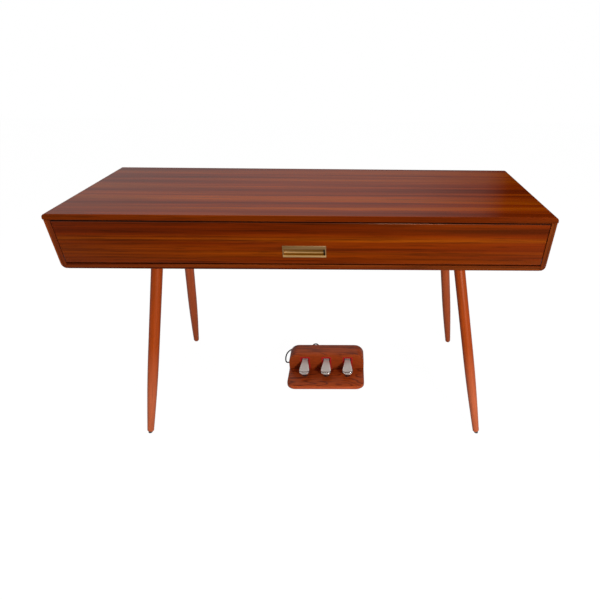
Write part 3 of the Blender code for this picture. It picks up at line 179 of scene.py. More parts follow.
def ease_edges(piece, width, segments):
    """Rounds the sharp edges and leaves the steps of a round form, which are under 42 degrees, alone."""
    apply_modifier(
        piece, "BEVEL", width=width, segments=segments, limit_method="ANGLE", angle_limit=math.radians(42)
    )


def settle_mesh(piece, turn=None):
    """Puts a piece's place in its mesh, after an optional turn or move, with its object at the origin."""
    place = (turn or Matrix.Identity(4)) @ piece.matrix_world
    piece.data.transform(place)
    piece.matrix_world = Matrix.Identity(4)


def smooth_shading(piece, degrees=35):
    make_active(piece)
    bpy.ops.object.shade_smooth_by_angle(angle=math.radians(degrees))


def fit_piece(piece, node, material):
    """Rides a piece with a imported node, and gives it its finish."""
    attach(piece, BODY_OF[node])
    piece.data.materials.clear()
    piece.data.materials.append(material)
    return piece


def copy_node(node, arris, material, degrees=35):
    """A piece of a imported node's shape, with merged faces, eased sharp edges and smooth round faces."""
    source = frame["nodes"][node]
    piece = bpy.data.objects.new(node + "_fine", source.data.copy())
    bpy.context.scene.collection.objects.link(piece)
    make_active(piece)
    bpy.ops.object.mode_set(mode="EDIT")
    bpy.ops.mesh.select_all(action="SELECT")
    bpy.ops.mesh.remove_doubles(threshold=0.00001)
    bpy.ops.mesh.dissolve_limited(angle_limit=math.radians(0.5))
    bpy.ops.object.mode_set(mode="OBJECT")
    if arris:
        ease_edges(piece, arris, 2)
    smooth_shading(piece, degrees)
    fit_piece(piece, node, material)
    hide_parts(node)
    return piece


def finish_front(piece, material, lean=0.3):
    """Gives the faces that look forwards a finish of their own."""
    piece.data.materials.append(material)
    for face in piece.data.polygons:
        if face.normal.y < -lean:
            face.material_index = 1


def turned_piece(name, profile, sides=48):
    """A turned form about +Z: a disc at the first (radius, height), extruded and resized to the next."""
    deselect()
    radius, height = profile[0]
    bpy.ops.mesh.primitive_circle_add(
        vertices=sides, radius=radius, fill_type="NGON", location=(0, 0, height)
    )
    piece = new_piece(name)
    bpy.ops.object.mode_set(mode="EDIT")
    bpy.ops.mesh.select_all(action="SELECT")
    for (r0, z0), (r1, z1) in zip(profile, profile[1:]):
        bpy.ops.mesh.extrude_region_move(TRANSFORM_OT_translate={"value": (0, 0, z1 - z0)})
        bpy.ops.transform.resize(value=(r1 / r0, r1 / r0, 1), center_override=(0, 0, z1))
    bpy.ops.mesh.select_all(action="SELECT")
    bpy.ops.mesh.normals_make_consistent(inside=False)
    bpy.ops.object.mode_set(mode="OBJECT")
    settle_mesh(piece)
    return piece


def remember_grain(piece):
    """Stores each point's place before the piece is turned, so its grain runs along it."""
    grain = piece.data.attributes.new("grain", "FLOAT_VECTOR", "POINT")
    for point, stored in zip(piece.data.vertices, grain.data):
        stored.vector = point.co


# Finishes

# Depth of a wood's pores and lines under its lacquer
PORE_DEPTH = 0.0001
# The front's zones begin and end at these heights, and sway this far up and down with its bands
ZONES_LOW = 0.636
ZONES_HIGH = 0.757
ZONES_SWAY = 0.012
# The front legs' colour changes from pale to deep between these distances from the foot: the paler foot is
# painted light, where the lamps reach under the cabinet
PAINTED_LIGHT_END = 0.14
DEEP_START = 0.34
# Growth rings in the pedal unit's wood, from one end of the figure's values to the other
UNIT_RINGS = 12.0
# Fall of the camera's line of sight to the pull, for each metre that it goes back
SIGHT_SLOPE = 0.75


def add_node(tree, kind, inputs=None, stops=None, **settings):
    """Adds a shader node, sets its options and ramp stops, and gives its inputs values or links."""
    made = tree.nodes.new("ShaderNode" + kind)
    for key, value in settings.items():
        setattr(made, key, value)
    for key, value in (inputs or {}).items():
        if isinstance(value, bpy.types.NodeSocket):
            tree.links.new(value, made.inputs[key])
        else:
            made.inputs[key].default_value = value
    if stops:
        ramp = made.color_ramp
        while len(ramp.elements) < len(stops):
            ramp.elements.new(0.5)
        for element, (place, value) in zip(ramp.elements, stops):
            element.position = place
            element.color = (value, value, value, 1) if isinstance(value, float) else (*value, 1)
    return made


def new_finish(name, **shader_inputs):
    """A named material with its shader's constant inputs, and its node tree and shader."""
    made = bpy.data.materials.new(name)
    made.use_nodes = True
    shader = made.node_tree.nodes["Principled BSDF"]
    for key, value in shader_inputs.items():
        plain = opaque(value) if isinstance(value, str) else value
        shader.inputs[key.replace("_", " ")].default_value = plain
    return made, made.node_tree, shader


def figure(tree, lengths, offset=(0, 0, 0), detail=2.0, roughness=0.5, wander=0.0, attribute=None):
    """A natural figure of soft patches, from 0 to 1, of the given real lengths along X, Y and Z.

    It is fixed to the piece, or to the places that the piece stored as an attribute.
    """
    if attribute:
        place = add_node(tree, "Attribute", attribute_name=attribute).outputs["Vector"]
    else:
        place = add_node(tree, "TexCoord").outputs["Object"]
    moved = add_node(tree, "Mapping", {"Vector": place, "Location": offset}, vector_type="POINT")
    inputs = {0: moved.outputs[0], 1: [1 / length for length in lengths]}
    scaled = add_node(tree, "VectorMath", inputs, operation="MULTIPLY").outputs[0]
    inputs = {"Vector": scaled, "Scale": 1.0, "Detail": detail, "Roughness": roughness, "Distortion": wander}
    return add_node(tree, "TexNoise", inputs).outputs["Fac"]


def shade(tree, body, pattern, stops):
    """A colour darkened, or tinted, by what the stops give for a pattern's value."""
    shades = add_node(tree, "ValToRGB", {0: pattern}, stops=stops).outputs[0]
    inputs = {0: 1.0, 6: body, 7: shades}
    return add_node(tree, "Mix", inputs, data_type="RGBA", blend_type="MULTIPLY").outputs[2]


def finish_wood(tree, shader, body, pores, stops, strength, tone):
    """Darkens and sinks a wood's pores or lines, and gives the shader its colour after a last tone."""
    shades = add_node(tree, "ValToRGB", {0: pores}, stops=stops).outputs[0]
    for layer in (shades, opaque(tone)):
        inputs = {0: 1.0, 6: body, 7: layer}
        body = add_node(tree, "Mix", inputs, data_type="RGBA", blend_type="MULTIPLY").outputs[2]
    tree.links.new(body, shader.inputs["Base Color"])
    inputs = {"Height": shades, "Strength": strength, "Distance": PORE_DEPTH}
    tree.links.new(add_node(tree, "Bump", inputs).outputs[0], shader.inputs["Normal"])


def veneer(name, along, offset, roughness, widths, tone, calm=0.0, length=1.0, zones=None, **shader_inputs):
    """Quarter-cut walnut veneer under lacquer: broad bands, streaks and fine dark lines on one axis.

    The widths are the real ones, in metres, of a band, a streak and a fine line. These run on for
    1.1 m, 0.5 m and 0.12 m, times the length. Calm evens the leaf out, the tone is its last tint, and
    zones give the front's leaf its darker and paler heights.
    """
    c = colours()
    made, tree, shader = new_finish(name, Roughness=roughness, **shader_inputs)

    def lengths(run, width):
        return [run * length if axis == along else width for axis in "XYZ"]

    band, streak, line = widths
    bands = figure(tree, lengths(1.1, band), offset, 2.0, 0.5, 0.35)
    streaks = figure(tree, lengths(0.5, streak), offset, 3.0, 0.55, 0.25)
    lines = figure(tree, lengths(0.12, line), offset, 2.0, 0.55, 0.1)
    stops = [(0.32, 0.5 * calm), (0.68, 1.0 - 0.5 * calm)]
    share = add_node(tree, "ValToRGB", {0: bands}, stops=stops).outputs[0]
    if zones:
        place = add_node(tree, "TexCoord").outputs["Object"]
        height = add_node(tree, "SeparateXYZ", {0: place}).outputs["Z"]
        inputs = {0: bands, 1: ZONES_SWAY, 2: height}
        sway = add_node(tree, "Math", inputs, operation="MULTIPLY_ADD").outputs[0]
        level = add_node(tree, "MapRange", {0: sway, 1: ZONES_LOW, 2: ZONES_HIGH}).outputs[0]
        zoned = add_node(tree, "ValToRGB", {0: level}, stops=zones).outputs[0]
        share = add_node(tree, "Mix", {0: 0.72, 6: share, 7: zoned}, data_type="RGBA").outputs[2]
    stops = [(0.08, c.veneer_dark), (0.45, c.veneer_body), (0.92, c.veneer_pale)]
    body = add_node(tree, "ValToRGB", {0: share}, stops=stops).outputs[0]
    stops = [(0.30, 0.62 + 0.22 * calm), (0.50, 0.96), (0.72, 1.22 - 0.08 * calm)]
    body = shade(tree, body, streaks, stops)
    finish_wood(tree, shader, body, lines, [(0.32, 0.55), (0.44, 1.0)], 0.05, tone)
    return made


def leg_finish(name, foot, top):
    """Turned beech under an orange stain: straight fibres 3 mm wide and ray flecks 6 mm long.

    The flecks are drawn twice as wide as real ones, or they wouldn't show.
    """
    made, tree, shader = new_finish(name, Roughness=0.40, Specular_IOR_Level=0.4, Specular_Tint="#F4C4A8")
    place = add_node(tree, "Attribute", attribute_name="grain").outputs["Vector"]
    along = add_node(tree, "SeparateXYZ", {0: place}).outputs["Z"]
    # Painted light: the colour pales from the top's towards the foot's
    level = add_node(tree, "MapRange", {0: along, 1: PAINTED_LIGHT_END, 2: DEEP_START}).outputs[0]
    body = add_node(tree, "ValToRGB", {0: level}, stops=[(0.0, foot), (1.0, top)]).outputs[0]
    fibres = figure(tree, (0.003, 0.003, 0.2), detail=3.0, roughness=0.6, attribute="grain")
    flecks = figure(tree, (0.0009, 0.0009, 0.006), attribute="grain")
    body = shade(tree, body, fibres, [(0.30, 0.74), (0.62, 1.0)])
    body = shade(tree, body, flecks, [(0.36, 0.84), (0.45, 1.0)])
    tree.links.new(body, shader.inputs["Base Color"])
    return made


def unit_finish(name, offset, rings, strokes, tone=(1.0, 1.0, 1.0)):
    """Flat-cut ash under a red-brown stain: growth rings cut into long cathedral figures, open pores.

    A ring is about 10 mm across and 200 mm long, and a darker stroke 12 mm wide and 120 mm long. Rings
    and strokes say how strongly each of the two shows, and the tone is the wood's last tint.
    """
    c = colours()
    made, tree, shader = new_finish(name, Roughness=0.38, Specular_Tint="#D88A5A")
    field = figure(tree, (0.24, 0.055, 0.055), offset, 1.0, 0.4, 0.2)
    turns = add_node(tree, "Math", {0: field, 1: UNIT_RINGS}, operation="MULTIPLY").outputs[0]
    ring = add_node(tree, "Math", {0: turns, 1: 0.5}, operation="PINGPONG").outputs[0]
    stops = [(0.0, 1.0 - rings), (0.07, 1.0 - 0.7 * rings), (0.2, 1.0)]
    share = add_node(tree, "ValToRGB", {0: ring}, stops=stops).outputs[0]
    clouds = figure(tree, (0.12, 0.012, 0.012), offset, wander=0.2)
    share = shade(tree, share, clouds, [(0.32, 1.0 - strokes), (0.50, 1.0)])
    stops = [(0.0, c.unit_dark), (1.0, c.unit_pale)]
    body = add_node(tree, "ValToRGB", {0: share}, stops=stops).outputs[0]
    pores = figure(tree, (0.014, 0.0011, 0.0011), offset)
    finish_wood(tree, shader, body, pores, [(0.36, 0.80), (0.48, 1.0)], 0.1, tone)
    return made


def grained_finish(name, colour, roughness, grain, depth, spread=0.12, **shader_inputs):
    """A plain material with an even grain of the given real size and depth: moulded, cast or sprayed."""
    made, tree, shader = new_finish(name, Roughness=roughness, **shader_inputs)
    pits = figure(tree, (grain, grain, grain))
    body = shade(tree, opaque(colour), pits, [(0.3, 1.0 - spread), (0.7, 1.0)])
    tree.links.new(body, shader.inputs["Base Color"])
    inputs = {"Height": pits, "Strength": 0.3, "Distance": depth}
    tree.links.new(add_node(tree, "Bump", inputs).outputs[0], shader.inputs["Normal"])
    return made


def brushed_finish(name, colour, roughness, metallic=1.0):
    """Metal brushed along X: hairlines 0.3 mm wide and 30 mm long vary its colour and its roughness."""
    made, tree, shader = new_finish(name, Metallic=metallic)
    lines = figure(tree, (0.03, 0.0003, 0.0003))
    stops = [(0.2, roughness * 0.8), (0.8, roughness * 1.25)]
    rough = add_node(tree, "ValToRGB", {0: lines}, stops=stops).outputs[0]
    tree.links.new(rough, shader.inputs["Roughness"])
    body = shade(tree, opaque(colour), lines, [(0.2, 0.90), (0.8, 1.0)])
    tree.links.new(body, shader.inputs["Base Color"])
    return made


def hollow_brass(name, roughness, heights, mouth, shades, half_width=None):
    """Brushed brass in a hollow, its colour painted with light and shade from one height to another.

    A face's height is taken where the camera's line of sight to it crosses the hollow's mouth. Where
    half the hollow's width is given, its right end is darkened by a painted shadow.
    """
    made = brushed_finish(name, (1.0, 1.0, 1.0), roughness, 0.3)
    tree = made.node_tree
    base = tree.nodes["Principled BSDF"].inputs["Base Color"]
    body = base.links[0].from_socket
    place = add_node(tree, "TexCoord").outputs["Object"]
    place = add_node(tree, "SeparateXYZ", {0: place})
    inputs = {0: place.outputs["Y"], 1: mouth}
    depth = add_node(tree, "Math", inputs, operation="SUBTRACT").outputs[0]
    inputs = {0: depth, 1: SIGHT_SLOPE, 2: place.outputs["Z"]}
    height = add_node(tree, "Math", inputs, operation="MULTIPLY_ADD").outputs[0]
    level = add_node(tree, "MapRange", {0: height, 1: heights[0], 2: heights[1]}).outputs[0]
    body = shade(tree, body, level, [(stop, linear(code)) for stop, code in shades])
    if half_width:
        inputs = {0: place.outputs["X"], 1: -half_width, 2: half_width}
        across = add_node(tree, "MapRange", inputs).outputs[0]
        body = shade(tree, body, across, [(0.95, 1.0), (0.975, 0.06)])
    tree.links.new(body, base)
    return made


# Stage

# The camera as it was fitted to the photographed edges: its place, heading, tilt, roll and shift
CAMERA_PLACE = (0.13282, -1.50971, 1.17002)
CAMERA_HEADING = -0.01827
CAMERA_TILT = math.pi / 2 - 0.64299
CAMERA_ROLL = 0.01337
CAMERA_SHIFT = (-0.0956, 0.1223)
# Brightness of the room that glossy pieces mirror: its far wall from left to right, and its near side
# from the floor up
WALL_SHADES = [
    (0.05, 0.22), (0.50, 0.24), (0.65, 0.22), (0.75, 0.185), (0.83, 0.128), (0.89, 0.085), (0.935, 0.0),
]
NEAR_SHADES = [(0.0, 1.0), (0.08, 0.9), (0.20, 0.38), (0.62, 0.30), (0.85, 0.7)]


def place_camera():
    data = bpy.data.cameras.new("Camera")
    data.sensor_width = 36.0
    data.lens = stage_settings().lens
    data.shift_x, data.shift_y = CAMERA_SHIFT
    camera = bpy.data.objects.new("Camera", data)
    bpy.context.scene.collection.objects.link(camera)
    turn = Matrix.Rotation(CAMERA_HEADING, 4, "Z")
    turn = turn @ Matrix.Rotation(CAMERA_TILT, 4, "X") @ Matrix.Rotation(CAMERA_ROLL, 4, "Z")
    camera.matrix_world = Matrix.Translation(CAMERA_PLACE) @ turn
    bpy.context.scene.camera = camera
    bpy.context.scene.view_settings.view_transform = "Standard"


def hang_lamps():
    """A low key lamp that glints on the arrises, a softbox overhead and a weak fill at the left."""
    settings = stage_settings()
    lamps = (
        ("Key lamp", settings.key_power, (1.5, -3.0, 1.45), 0.4, 0.5),
        ("Top lamp", settings.top_power, (0.0, -0.5, 3.0), 0.6, 2.0),
        ("Fill lamp", settings.fill_power, (-2.5, -1.6, 2.0), 0.5, 1.4),
    )
    for name, power, place, aim_height, width in lamps:
        light = bpy.data.lights.new(name, "AREA")
        light.shape = "RECTANGLE"
        light.size = width
        light.size_y = width
        light.energy = power
        lamp = bpy.data.objects.new(name, light)
        bpy.context.scene.collection.objects.link(lamp)
        away = Vector(place) - Vector((0.0, 0.0, aim_height))
        lamp.matrix_world = Matrix.Translation(place) @ away.to_track_quat("Z", "Y").to_matrix().to_4x4()


def surround():
    """White to the camera, a dim even light on dull surfaces, and a grey room for glossy ones.

    The room's far wall is grey at the left and dark at the right, and bright above. The polished top
    mirrors it, so that the sheen on it ends before its right end. The near side is brightest at the
    floor, grey at the level of the front and paler overhead.
    """
    world = bpy.data.worlds.new("White surroundings")
    world.use_nodes = True
    bpy.context.scene.world = world
    tree = world.node_tree
    rays = add_node(tree, "LightPath")
    toward = add_node(tree, "SeparateXYZ", {0: add_node(tree, "TexCoord").outputs["Generated"]})
    across = add_node(tree, "MapRange", {0: toward.outputs["X"], 1: -0.6, 2: 0.4}).outputs[0]
    wall = add_node(tree, "ValToRGB", {0: across}, stops=WALL_SHADES).outputs[0]
    inputs = {0: toward.outputs["Z"], 1: 0.36, 2: 0.62}
    climb = add_node(tree, "MapRange", inputs, interpolation_type="SMOOTHSTEP").outputs[0]
    far = add_node(tree, "Mix", {0: climb, 2: wall, 3: 1.0}, data_type="FLOAT").outputs[0]
    near = add_node(tree, "ValToRGB", {0: toward.outputs["Z"]}, stops=NEAR_SHADES).outputs[0]
    inputs = {0: toward.outputs["Y"], 1: 0.2, 2: -0.1}
    forwards = add_node(tree, "MapRange", inputs, interpolation_type="SMOOTHSTEP").outputs[0]
    room = add_node(tree, "Mix", {0: forwards, 2: far, 3: near}, data_type="FLOAT").outputs[0]
    inputs = {0: rays.outputs["Is Glossy Ray"], 2: 0.20, 3: room}
    ambient = add_node(tree, "Mix", inputs, data_type="FLOAT").outputs[0]
    inputs = {0: rays.outputs["Is Camera Ray"], 1: rays.outputs["Is Transmission Ray"]}
    seen = add_node(tree, "Math", inputs, operation="MAXIMUM").outputs[0]
    strength = add_node(tree, "Mix", {0: seen, 2: ambient, 3: 1.0}, data_type="FLOAT").outputs[0]
    background = tree.nodes["Background"]
    background.inputs["Color"].default_value = (1, 1, 1, 1)
    tree.links.new(strength, background.inputs["Strength"])


def lay_floor():
    deselect()
    bpy.ops.mesh.primitive_plane_add(size=14.0, location=(0, 0, -0.0002))
    floor = new_piece("floor")
    bpy.ops.object.mode_set(mode="EDIT")
    bpy.ops.mesh.subdivide(number_cuts=3)
    bpy.ops.object.mode_set(mode="OBJECT")
    settle_mesh(floor)
    # Matt white paper, so well lit that the camera sees it as white with a trace of shadow
    paper, tree, shader = new_finish("white paper sweep", Roughness=1.0, Base_Color=(0.6, 0.6, 0.6, 1))
    rays = add_node(tree, "LightPath")
    glow = add_node(tree, "Emission", {"Color": (1, 1, 1, 1), "Strength": 1.06})
    share = add_node(tree, "Math", {0: rays.outputs["Is Camera Ray"], 1: 0.93}, operation="MULTIPLY")
    inputs = {0: share.outputs[0], 1: shader.outputs[0], 2: glow.outputs[0]}
    mixed = add_node(tree, "MixShader", inputs)
    tree.links.new(mixed.outputs[0], tree.nodes["Material Output"].inputs["Surface"])
    floor.data.materials.append(paper)


class DESKPIANO_OT_stage(Operator):
    """Sets up the camera at the photographed angle, the lamps, the white surroundings and the floor"""

    bl_idname = "desk_piano.stage"
    bl_label = "Stage"

    def execute(self, context):
        place_camera()
        hang_lamps()
        surround()
        lay_floor()
        return {"FINISHED"}


# Pedal lead

# The lead's route over the floor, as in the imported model, each point with its height above the lead's
# level there
LEAD_EXIT = Vector((-0.1341, 0.1175, 0.01065))
LEAD_FLOOR = 0.00305
LEAD_ROUTE = [
    (-0.1390, 0.1175, 0.0075),
    (-0.1445, 0.1194, 0.0058),
    (-0.1500, 0.1275, 0.0027),
    (-0.1540, 0.1405, 0.0005),
    (-0.1563, 0.1565, 0.0),
    (-0.1570, 0.1740, 0.0),
    (-0.1550, 0.1960, 0.0),
    (-0.1470, 0.2170, 0.0),
    (-0.1330, 0.2340, 0.0),
    (-0.1130, 0.2440, 0.0),
    (-0.0900, 0.2460, 0.0),
    (-0.0680, 0.2440, 0.0),
    (-0.0520, 0.2490, 0.0),
    (-0.0440, 0.2610, 0.0),
    (-0.0385, 0.2720, 0.0),
    (-0.0300, 0.2765, 0.0),
    (-0.0215, 0.2720, 0.0),
    (-0.0155, 0.2610, 0.0),
    (-0.0070, 0.2470, 0.0),
    (0.0110, 0.2350, 0.0),
    (0.0360, 0.2295, 0.0),
]
ROUTE_STEP = 0.006
COIL_CENTRE = Vector((0.075, 0.190, 0.0))
COIL_RADIUS = 0.0385
COIL_STEP = 0.0061
COIL_TURNS = 3
COIL_POINTS = 24
COIL_LEAD_IN = 0.0055
COIL_TAIL = 0.029
MEETING_GAP = 0.0058
# A curve's flat-sided ring lies inside the round that it stands for, so it is made this much larger
RING_SWELL = 1.03

PLUG_BORE = 0.0035
PLUG_RIBS = 5
RIB_PITCH = 0.002
RIB_STEP = 0.0008
TIP_RADIUS = 0.0066
TIP_BORE = 0.0058
TIP_DEPTH = 0.008
# Radius and height of the ringed sleeve that guards the lead where it leaves the pedal unit
SLEEVE_PROFILE = [
    (0.0035, 0.0), (0.0035, 0.0100), (0.0055, 0.0103), (0.006, 0.0108), (0.006, 0.0114), (0.0052, 0.0118),
    (0.0038, 0.0120), (0.0034, 0.0130), (0.0036, 0.0134), (0.0032, 0.0142), (0.0034, 0.0146),
    (0.0029, 0.0157),
]


def smooth_route(points, step):
    """Points about one step apart on a smooth curve through the given points."""
    guides = [Vector(point) for point in points]
    guides = [2 * guides[0] - guides[1]] + guides + [2 * guides[-1] - guides[-2]]
    path = [guides[1]]
    for before, start, end, after in zip(guides, guides[1:], guides[2:], guides[3:]):
        pieces = max(1, round((end - start).length / step))
        for piece in range(1, pieces + 1):
            t = piece / pieces
            bend = 2 * start + (end - before) * t
            bend += (2 * before - 5 * start + 4 * end - after) * t**2
            bend += (3 * start - before - 3 * end + after) * t**3
            path.append(bend / 2)
    return path


def coil_path():
    """The coil's turns: inwards on the floor, up a layer at the middle, and outwards on top."""
    start = COIL_CENTRE + Vector((0, COIL_RADIUS, LEAD_FLOOR))
    path = [start - Vector((COIL_LEAD_IN, 0, 0))]
    for step in range(2 * COIL_TURNS * COIL_POINTS + 1):
        turn = step / COIL_POINTS
        radius = COIL_RADIUS - COIL_STEP * (COIL_TURNS - abs(turn - COIL_TURNS))
        climb = min(max((turn - COIL_TURNS) / 0.5 + 0.5, 0), 1)
        climb = climb * climb * (3 - 2 * climb)
        angle = math.pi / 2 - 2 * math.pi * turn
        around = Vector((math.cos(angle), math.sin(angle), 0)) * radius
        path.append(COIL_CENTRE + around + Vector((0, 0, LEAD_FLOOR + COIL_STEP * climb)))
    path.append(path[-1] + Vector((COIL_TAIL / 2, 0, 0)))
    path.append(path[-1] + Vector((COIL_TAIL / 2, 0, 0)))
    return path


def lay_lead(jacket):
    """The lead as one curve, from the unit's side, over the floor and round its coil."""
    coil = coil_path()
    meeting = coil[0] - Vector((MEETING_GAP, 0, 0))
    laid = [(x, y, LEAD_FLOOR + rise) for x, y, rise in LEAD_ROUTE]
    path = smooth_route([LEAD_EXIT, *laid, meeting], ROUTE_STEP) + coil
    curve = bpy.data.curves.new("pedal_lead", "CURVE")
    curve.dimensions = "3D"
    curve.bevel_depth = RING_SWELL * sizes().cord_diameter / 2
    curve.bevel_resolution = 4
    curve.use_fill_caps = True
    spline = curve.splines.new("POLY")
    spline.points.add(len(path) - 1)
    for point, place in zip(spline.points, path):
        point.co = (*place, 1)
    spline.use_smooth = True
    lead = bpy.data.objects.new("pedal_lead", curve)
    bpy.context.scene.collection.objects.link(lead)
    curve.materials.append(jacket)
    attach(lead, "cabinet")
    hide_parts("pedal_cord", "pedal_cord_coil")
    return lead


def plug_profile(length, radius):
    """Radius and height of the plug, from its lead on: ribs that widen, a grip and an open tip."""
    profile = [(PLUG_BORE, 0.0)]
    for rib in range(PLUG_RIBS):
        start = RIB_PITCH * rib + 0.001
        width = PLUG_BORE + (radius - PLUG_BORE) * (rib + 1) / (PLUG_RIBS + 1)
        profile += [(width, start), (width, start + 0.0012)]
        profile += [(width - RIB_STEP, start + 0.0013), (width - RIB_STEP, start + 0.0019)]
    profile += [(radius - 0.001, 0.0121), (radius, 0.0131), (radius, 0.0368), (radius - 0.0012, 0.0380)]
    profile += [(TIP_RADIUS, 0.0380), (TIP_RADIUS, length)]
    profile += [(TIP_BORE, length), (TIP_BORE, length - TIP_DEPTH)]
    return profile


def lay_turned(name, profile, sides, node, start, heading, material):
    """A turned piece on the lead, laid along +X or -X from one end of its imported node."""
    low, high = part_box(node)
    piece = turned_piece(name, profile, sides)
    place = Matrix.Translation((start, (low[1] + high[1]) / 2, (low[2] + high[2]) / 2))
    settle_mesh(piece, place @ Matrix.Rotation(heading * math.pi / 2, 4, "Y"))
    smooth_shading(piece, 30)
    fit_piece(piece, node, material)
    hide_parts(node)
    return piece


class DESKPIANO_OT_lead(Operator):
    """Lays the pedal lead from the unit's side, behind it and into its coil, with its plug and sleeve"""

    bl_idname = "desk_piano.lead"
    bl_label = "Pedal lead"

    def execute(self, context):
        # Soft black cable jacket: matt, with hardly any sheen
        jacket = grained_finish("black PVC jacket", "#030303", 0.7, 0.0006, 0.00005, Specular_IOR_Level=0.1)
        lead = lay_lead(jacket)
        # Harder moulded PVC: black with a dull sheen on its ribs
        moulded = grained_finish("moulded black PVC", "#101011", 0.5, 0.0004, 0.00005)
        low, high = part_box("pedal_plug")
        profile = plug_profile(high[0] - low[0], (high[1] - low[1]) / 2)
        plug = lay_turned("lead_plug", profile, 48, "pedal_plug", low[0], 1, moulded)
        low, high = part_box("cord_grommet")
        sleeve = lay_turned("lead_sleeve", SLEEVE_PROFILE, 32, "cord_grommet", high[0], -1, moulded)
        return {"FINISHED"}


# Cabinet

# The front's darker and paler heights, from its lower edge to its upper one
FRONT_ZONES = [
    (0.0, 0.42), (0.2, 0.62), (0.48, 0.44), (0.56, 0.62), (0.60, 1.0), (0.66, 0.46), (0.78, 0.16),
    (0.93, 0.22), (1.0, 0.5),
]
BOARD_ARRIS = 0.0006


class DESKPIANO_OT_cabinet(Operator):
    """Finishes the boards of the cabinet and eases the edges of the drop front, the back and the socket plate
    """

    bl_idname = "desk_piano.cabinet"
    bl_label = "Cabinet"

    def execute(self, context):
        # Polished lacquer: long, calm streaks under a soft mirror of the room; its tone is painted light,
        # paler than the same veneer on the front
        top = veneer(
            "walnut veneer, top, painted light", "X", (0.2, 0.31, 0.0), 0.13, (0.045, 0.012, 0.0032), (1.30, 1.13, 0.02),
            calm=0.4, length=1.6,
        )
        # Satin lacquer over a livelier leaf: strong dark and pale bands, and warm highlights; its tone is
        # painted shade, darker than the same veneer on the top
        front = veneer(
            "walnut veneer, front, painted shade", "X", (1.7, 0.0, 0.12), 0.36, (0.020, 0.006, 0.0022), (0.78, 0.64, 0.30),
            calm=-0.35, zones=FRONT_ZONES, Specular_Tint="#C8641E",
        )
        # Satin lacquer on the underside and its edge: darker and plainer
        bottom = veneer(
            "walnut veneer, bottom", "X", (0.9, 0.2, 0.5), 0.38, (0.016, 0.005, 0.002), (0.63, 0.52, 0.5),
            Specular_Tint="#B4724A",
        )
        # Veneer tape under satin lacquer: an even brown line along the top's front edge
        tape = veneer(
            "walnut edging", "X", (0.6, 0.2, 0.9), 0.34, (0.05, 0.006, 0.0022), (0.67, 0.56, 0.3),
            calm=0.6, Specular_Tint="#C8641E",
        )
        # Pressed wood fibre, left bare: dull brown with coarse flecks
        board = grained_finish("hardboard", "#4A3020", 0.75, 0.002, 0.0002)
        # Moulded in a spark-eroded tool: an even dull black
        plate = grained_finish("moulded ABS, black", "#141415", 0.5, 0.0008, 0.0001)
        # Painted shade: the drop front's upper edge is made dull black, so that the gap above it reads as a
        # dark shadow line
        painted_gap_shade = grained_finish("black edge sealer", "#060404", 0.8, 0.001, 0.0001, Specular_IOR_Level=0.1)
        # Lacquer that pooled on the arris: a thin warm glint along the edge
        arris = grained_finish("lacquered arris", "#4A1A08", 0.26, 0.004, 0.00005, Specular_Tint="#F0BC9C")
        # Satin lacquer over a leaf that runs upright: reddish brown with soft streaks
        sides = veneer(
            "walnut veneer, sides", "Z", (0.4, 0.9, 0.3), 0.36, (0.030, 0.008, 0.0025), (1.15, 1.0, 0.6),
            calm=0.35, Specular_Tint="#C8641E",
        )

        finish_front(copy_node("top_panel", 0, top), tape)
        for side, tone in (("left", (1.7, 2.3, 3.2)), ("right", (0.72, 0.82, 0.9))):
            # Veneer tape on the side's front edge, toned per side by painted light and shade: paler at the
            # left, away from the key lamp, and darker at the right, which the lamp lights
            edging = veneer(
                "walnut edging, painted light and shade, " + side, "Z", (0.4, 0.9, 0.3), 0.38, (0.030, 0.008, 0.0025), tone,
                Specular_Tint="#B4724A",
            )
            finish_front(copy_node("side_panel_" + side, 0, sides), edging)
        copy_node("bottom_panel", 0, bottom)
        panel = copy_node("drop_front", sizes().front_arris, front)
        panel.data.materials.append(painted_gap_shade)
        panel.data.materials.append(arris)
        # Faces that look up take the gap's painted shade, and the eased front arris takes its lacquer
        for face in panel.data.polygons:
            if face.normal.z > 0.95:
                face.material_index = 1
            elif face.normal.z > 0.3 and face.normal.y < -0.3:
                face.material_index = 2
        copy_node("back_panel", BOARD_ARRIS, board)
        copy_node("socket_plate", BOARD_ARRIS, plate)
        return {"FINISHED"}


# Legs

# Where a right rear leg's axis meets its plate and the floor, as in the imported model
LEG_TOP = (0.469, 0.144, 0.6135)
LEG_FOOT = (0.593, 0.306, 0.0)
LEG_TOP_GAP = 0.0223
LEG_TAPER = 0.285
LEG_CHAMFER = 0.0012
TIP_HEIGHT = 0.0058
TIP_ROUNDING = 0.004
STUD_RADIUS = 0.004
STUD_LENGTH = 0.014


def leg_profile(length):
    """Radius and height of a leg: a rounded tip, a taper that swells as a quarter wave, and its stud."""
    full = sizes().leg_radius
    tip = sizes().leg_tip_radius
    profile = []
    for step in range(1, 7):
        angle = math.radians(15 * step)
        across = tip - TIP_ROUNDING + TIP_ROUNDING * math.sin(angle)
        profile.append((across, TIP_HEIGHT + TIP_ROUNDING - TIP_ROUNDING * math.cos(angle)))
    steps = 20
    for step in range(1, steps + 1):
        share = step / steps
        radius = tip + (full - tip) * math.sin(share * math.pi / 2)
        profile.append((radius, TIP_HEIGHT + TIP_ROUNDING + LEG_TAPER * share))
    shoulder = length - LEG_TOP_GAP
    profile += [(full, shoulder - LEG_CHAMFER), (full - LEG_CHAMFER, shoulder)]
    profile += [(STUD_RADIUS, shoulder), (STUD_RADIUS, shoulder + STUD_LENGTH)]
    return profile


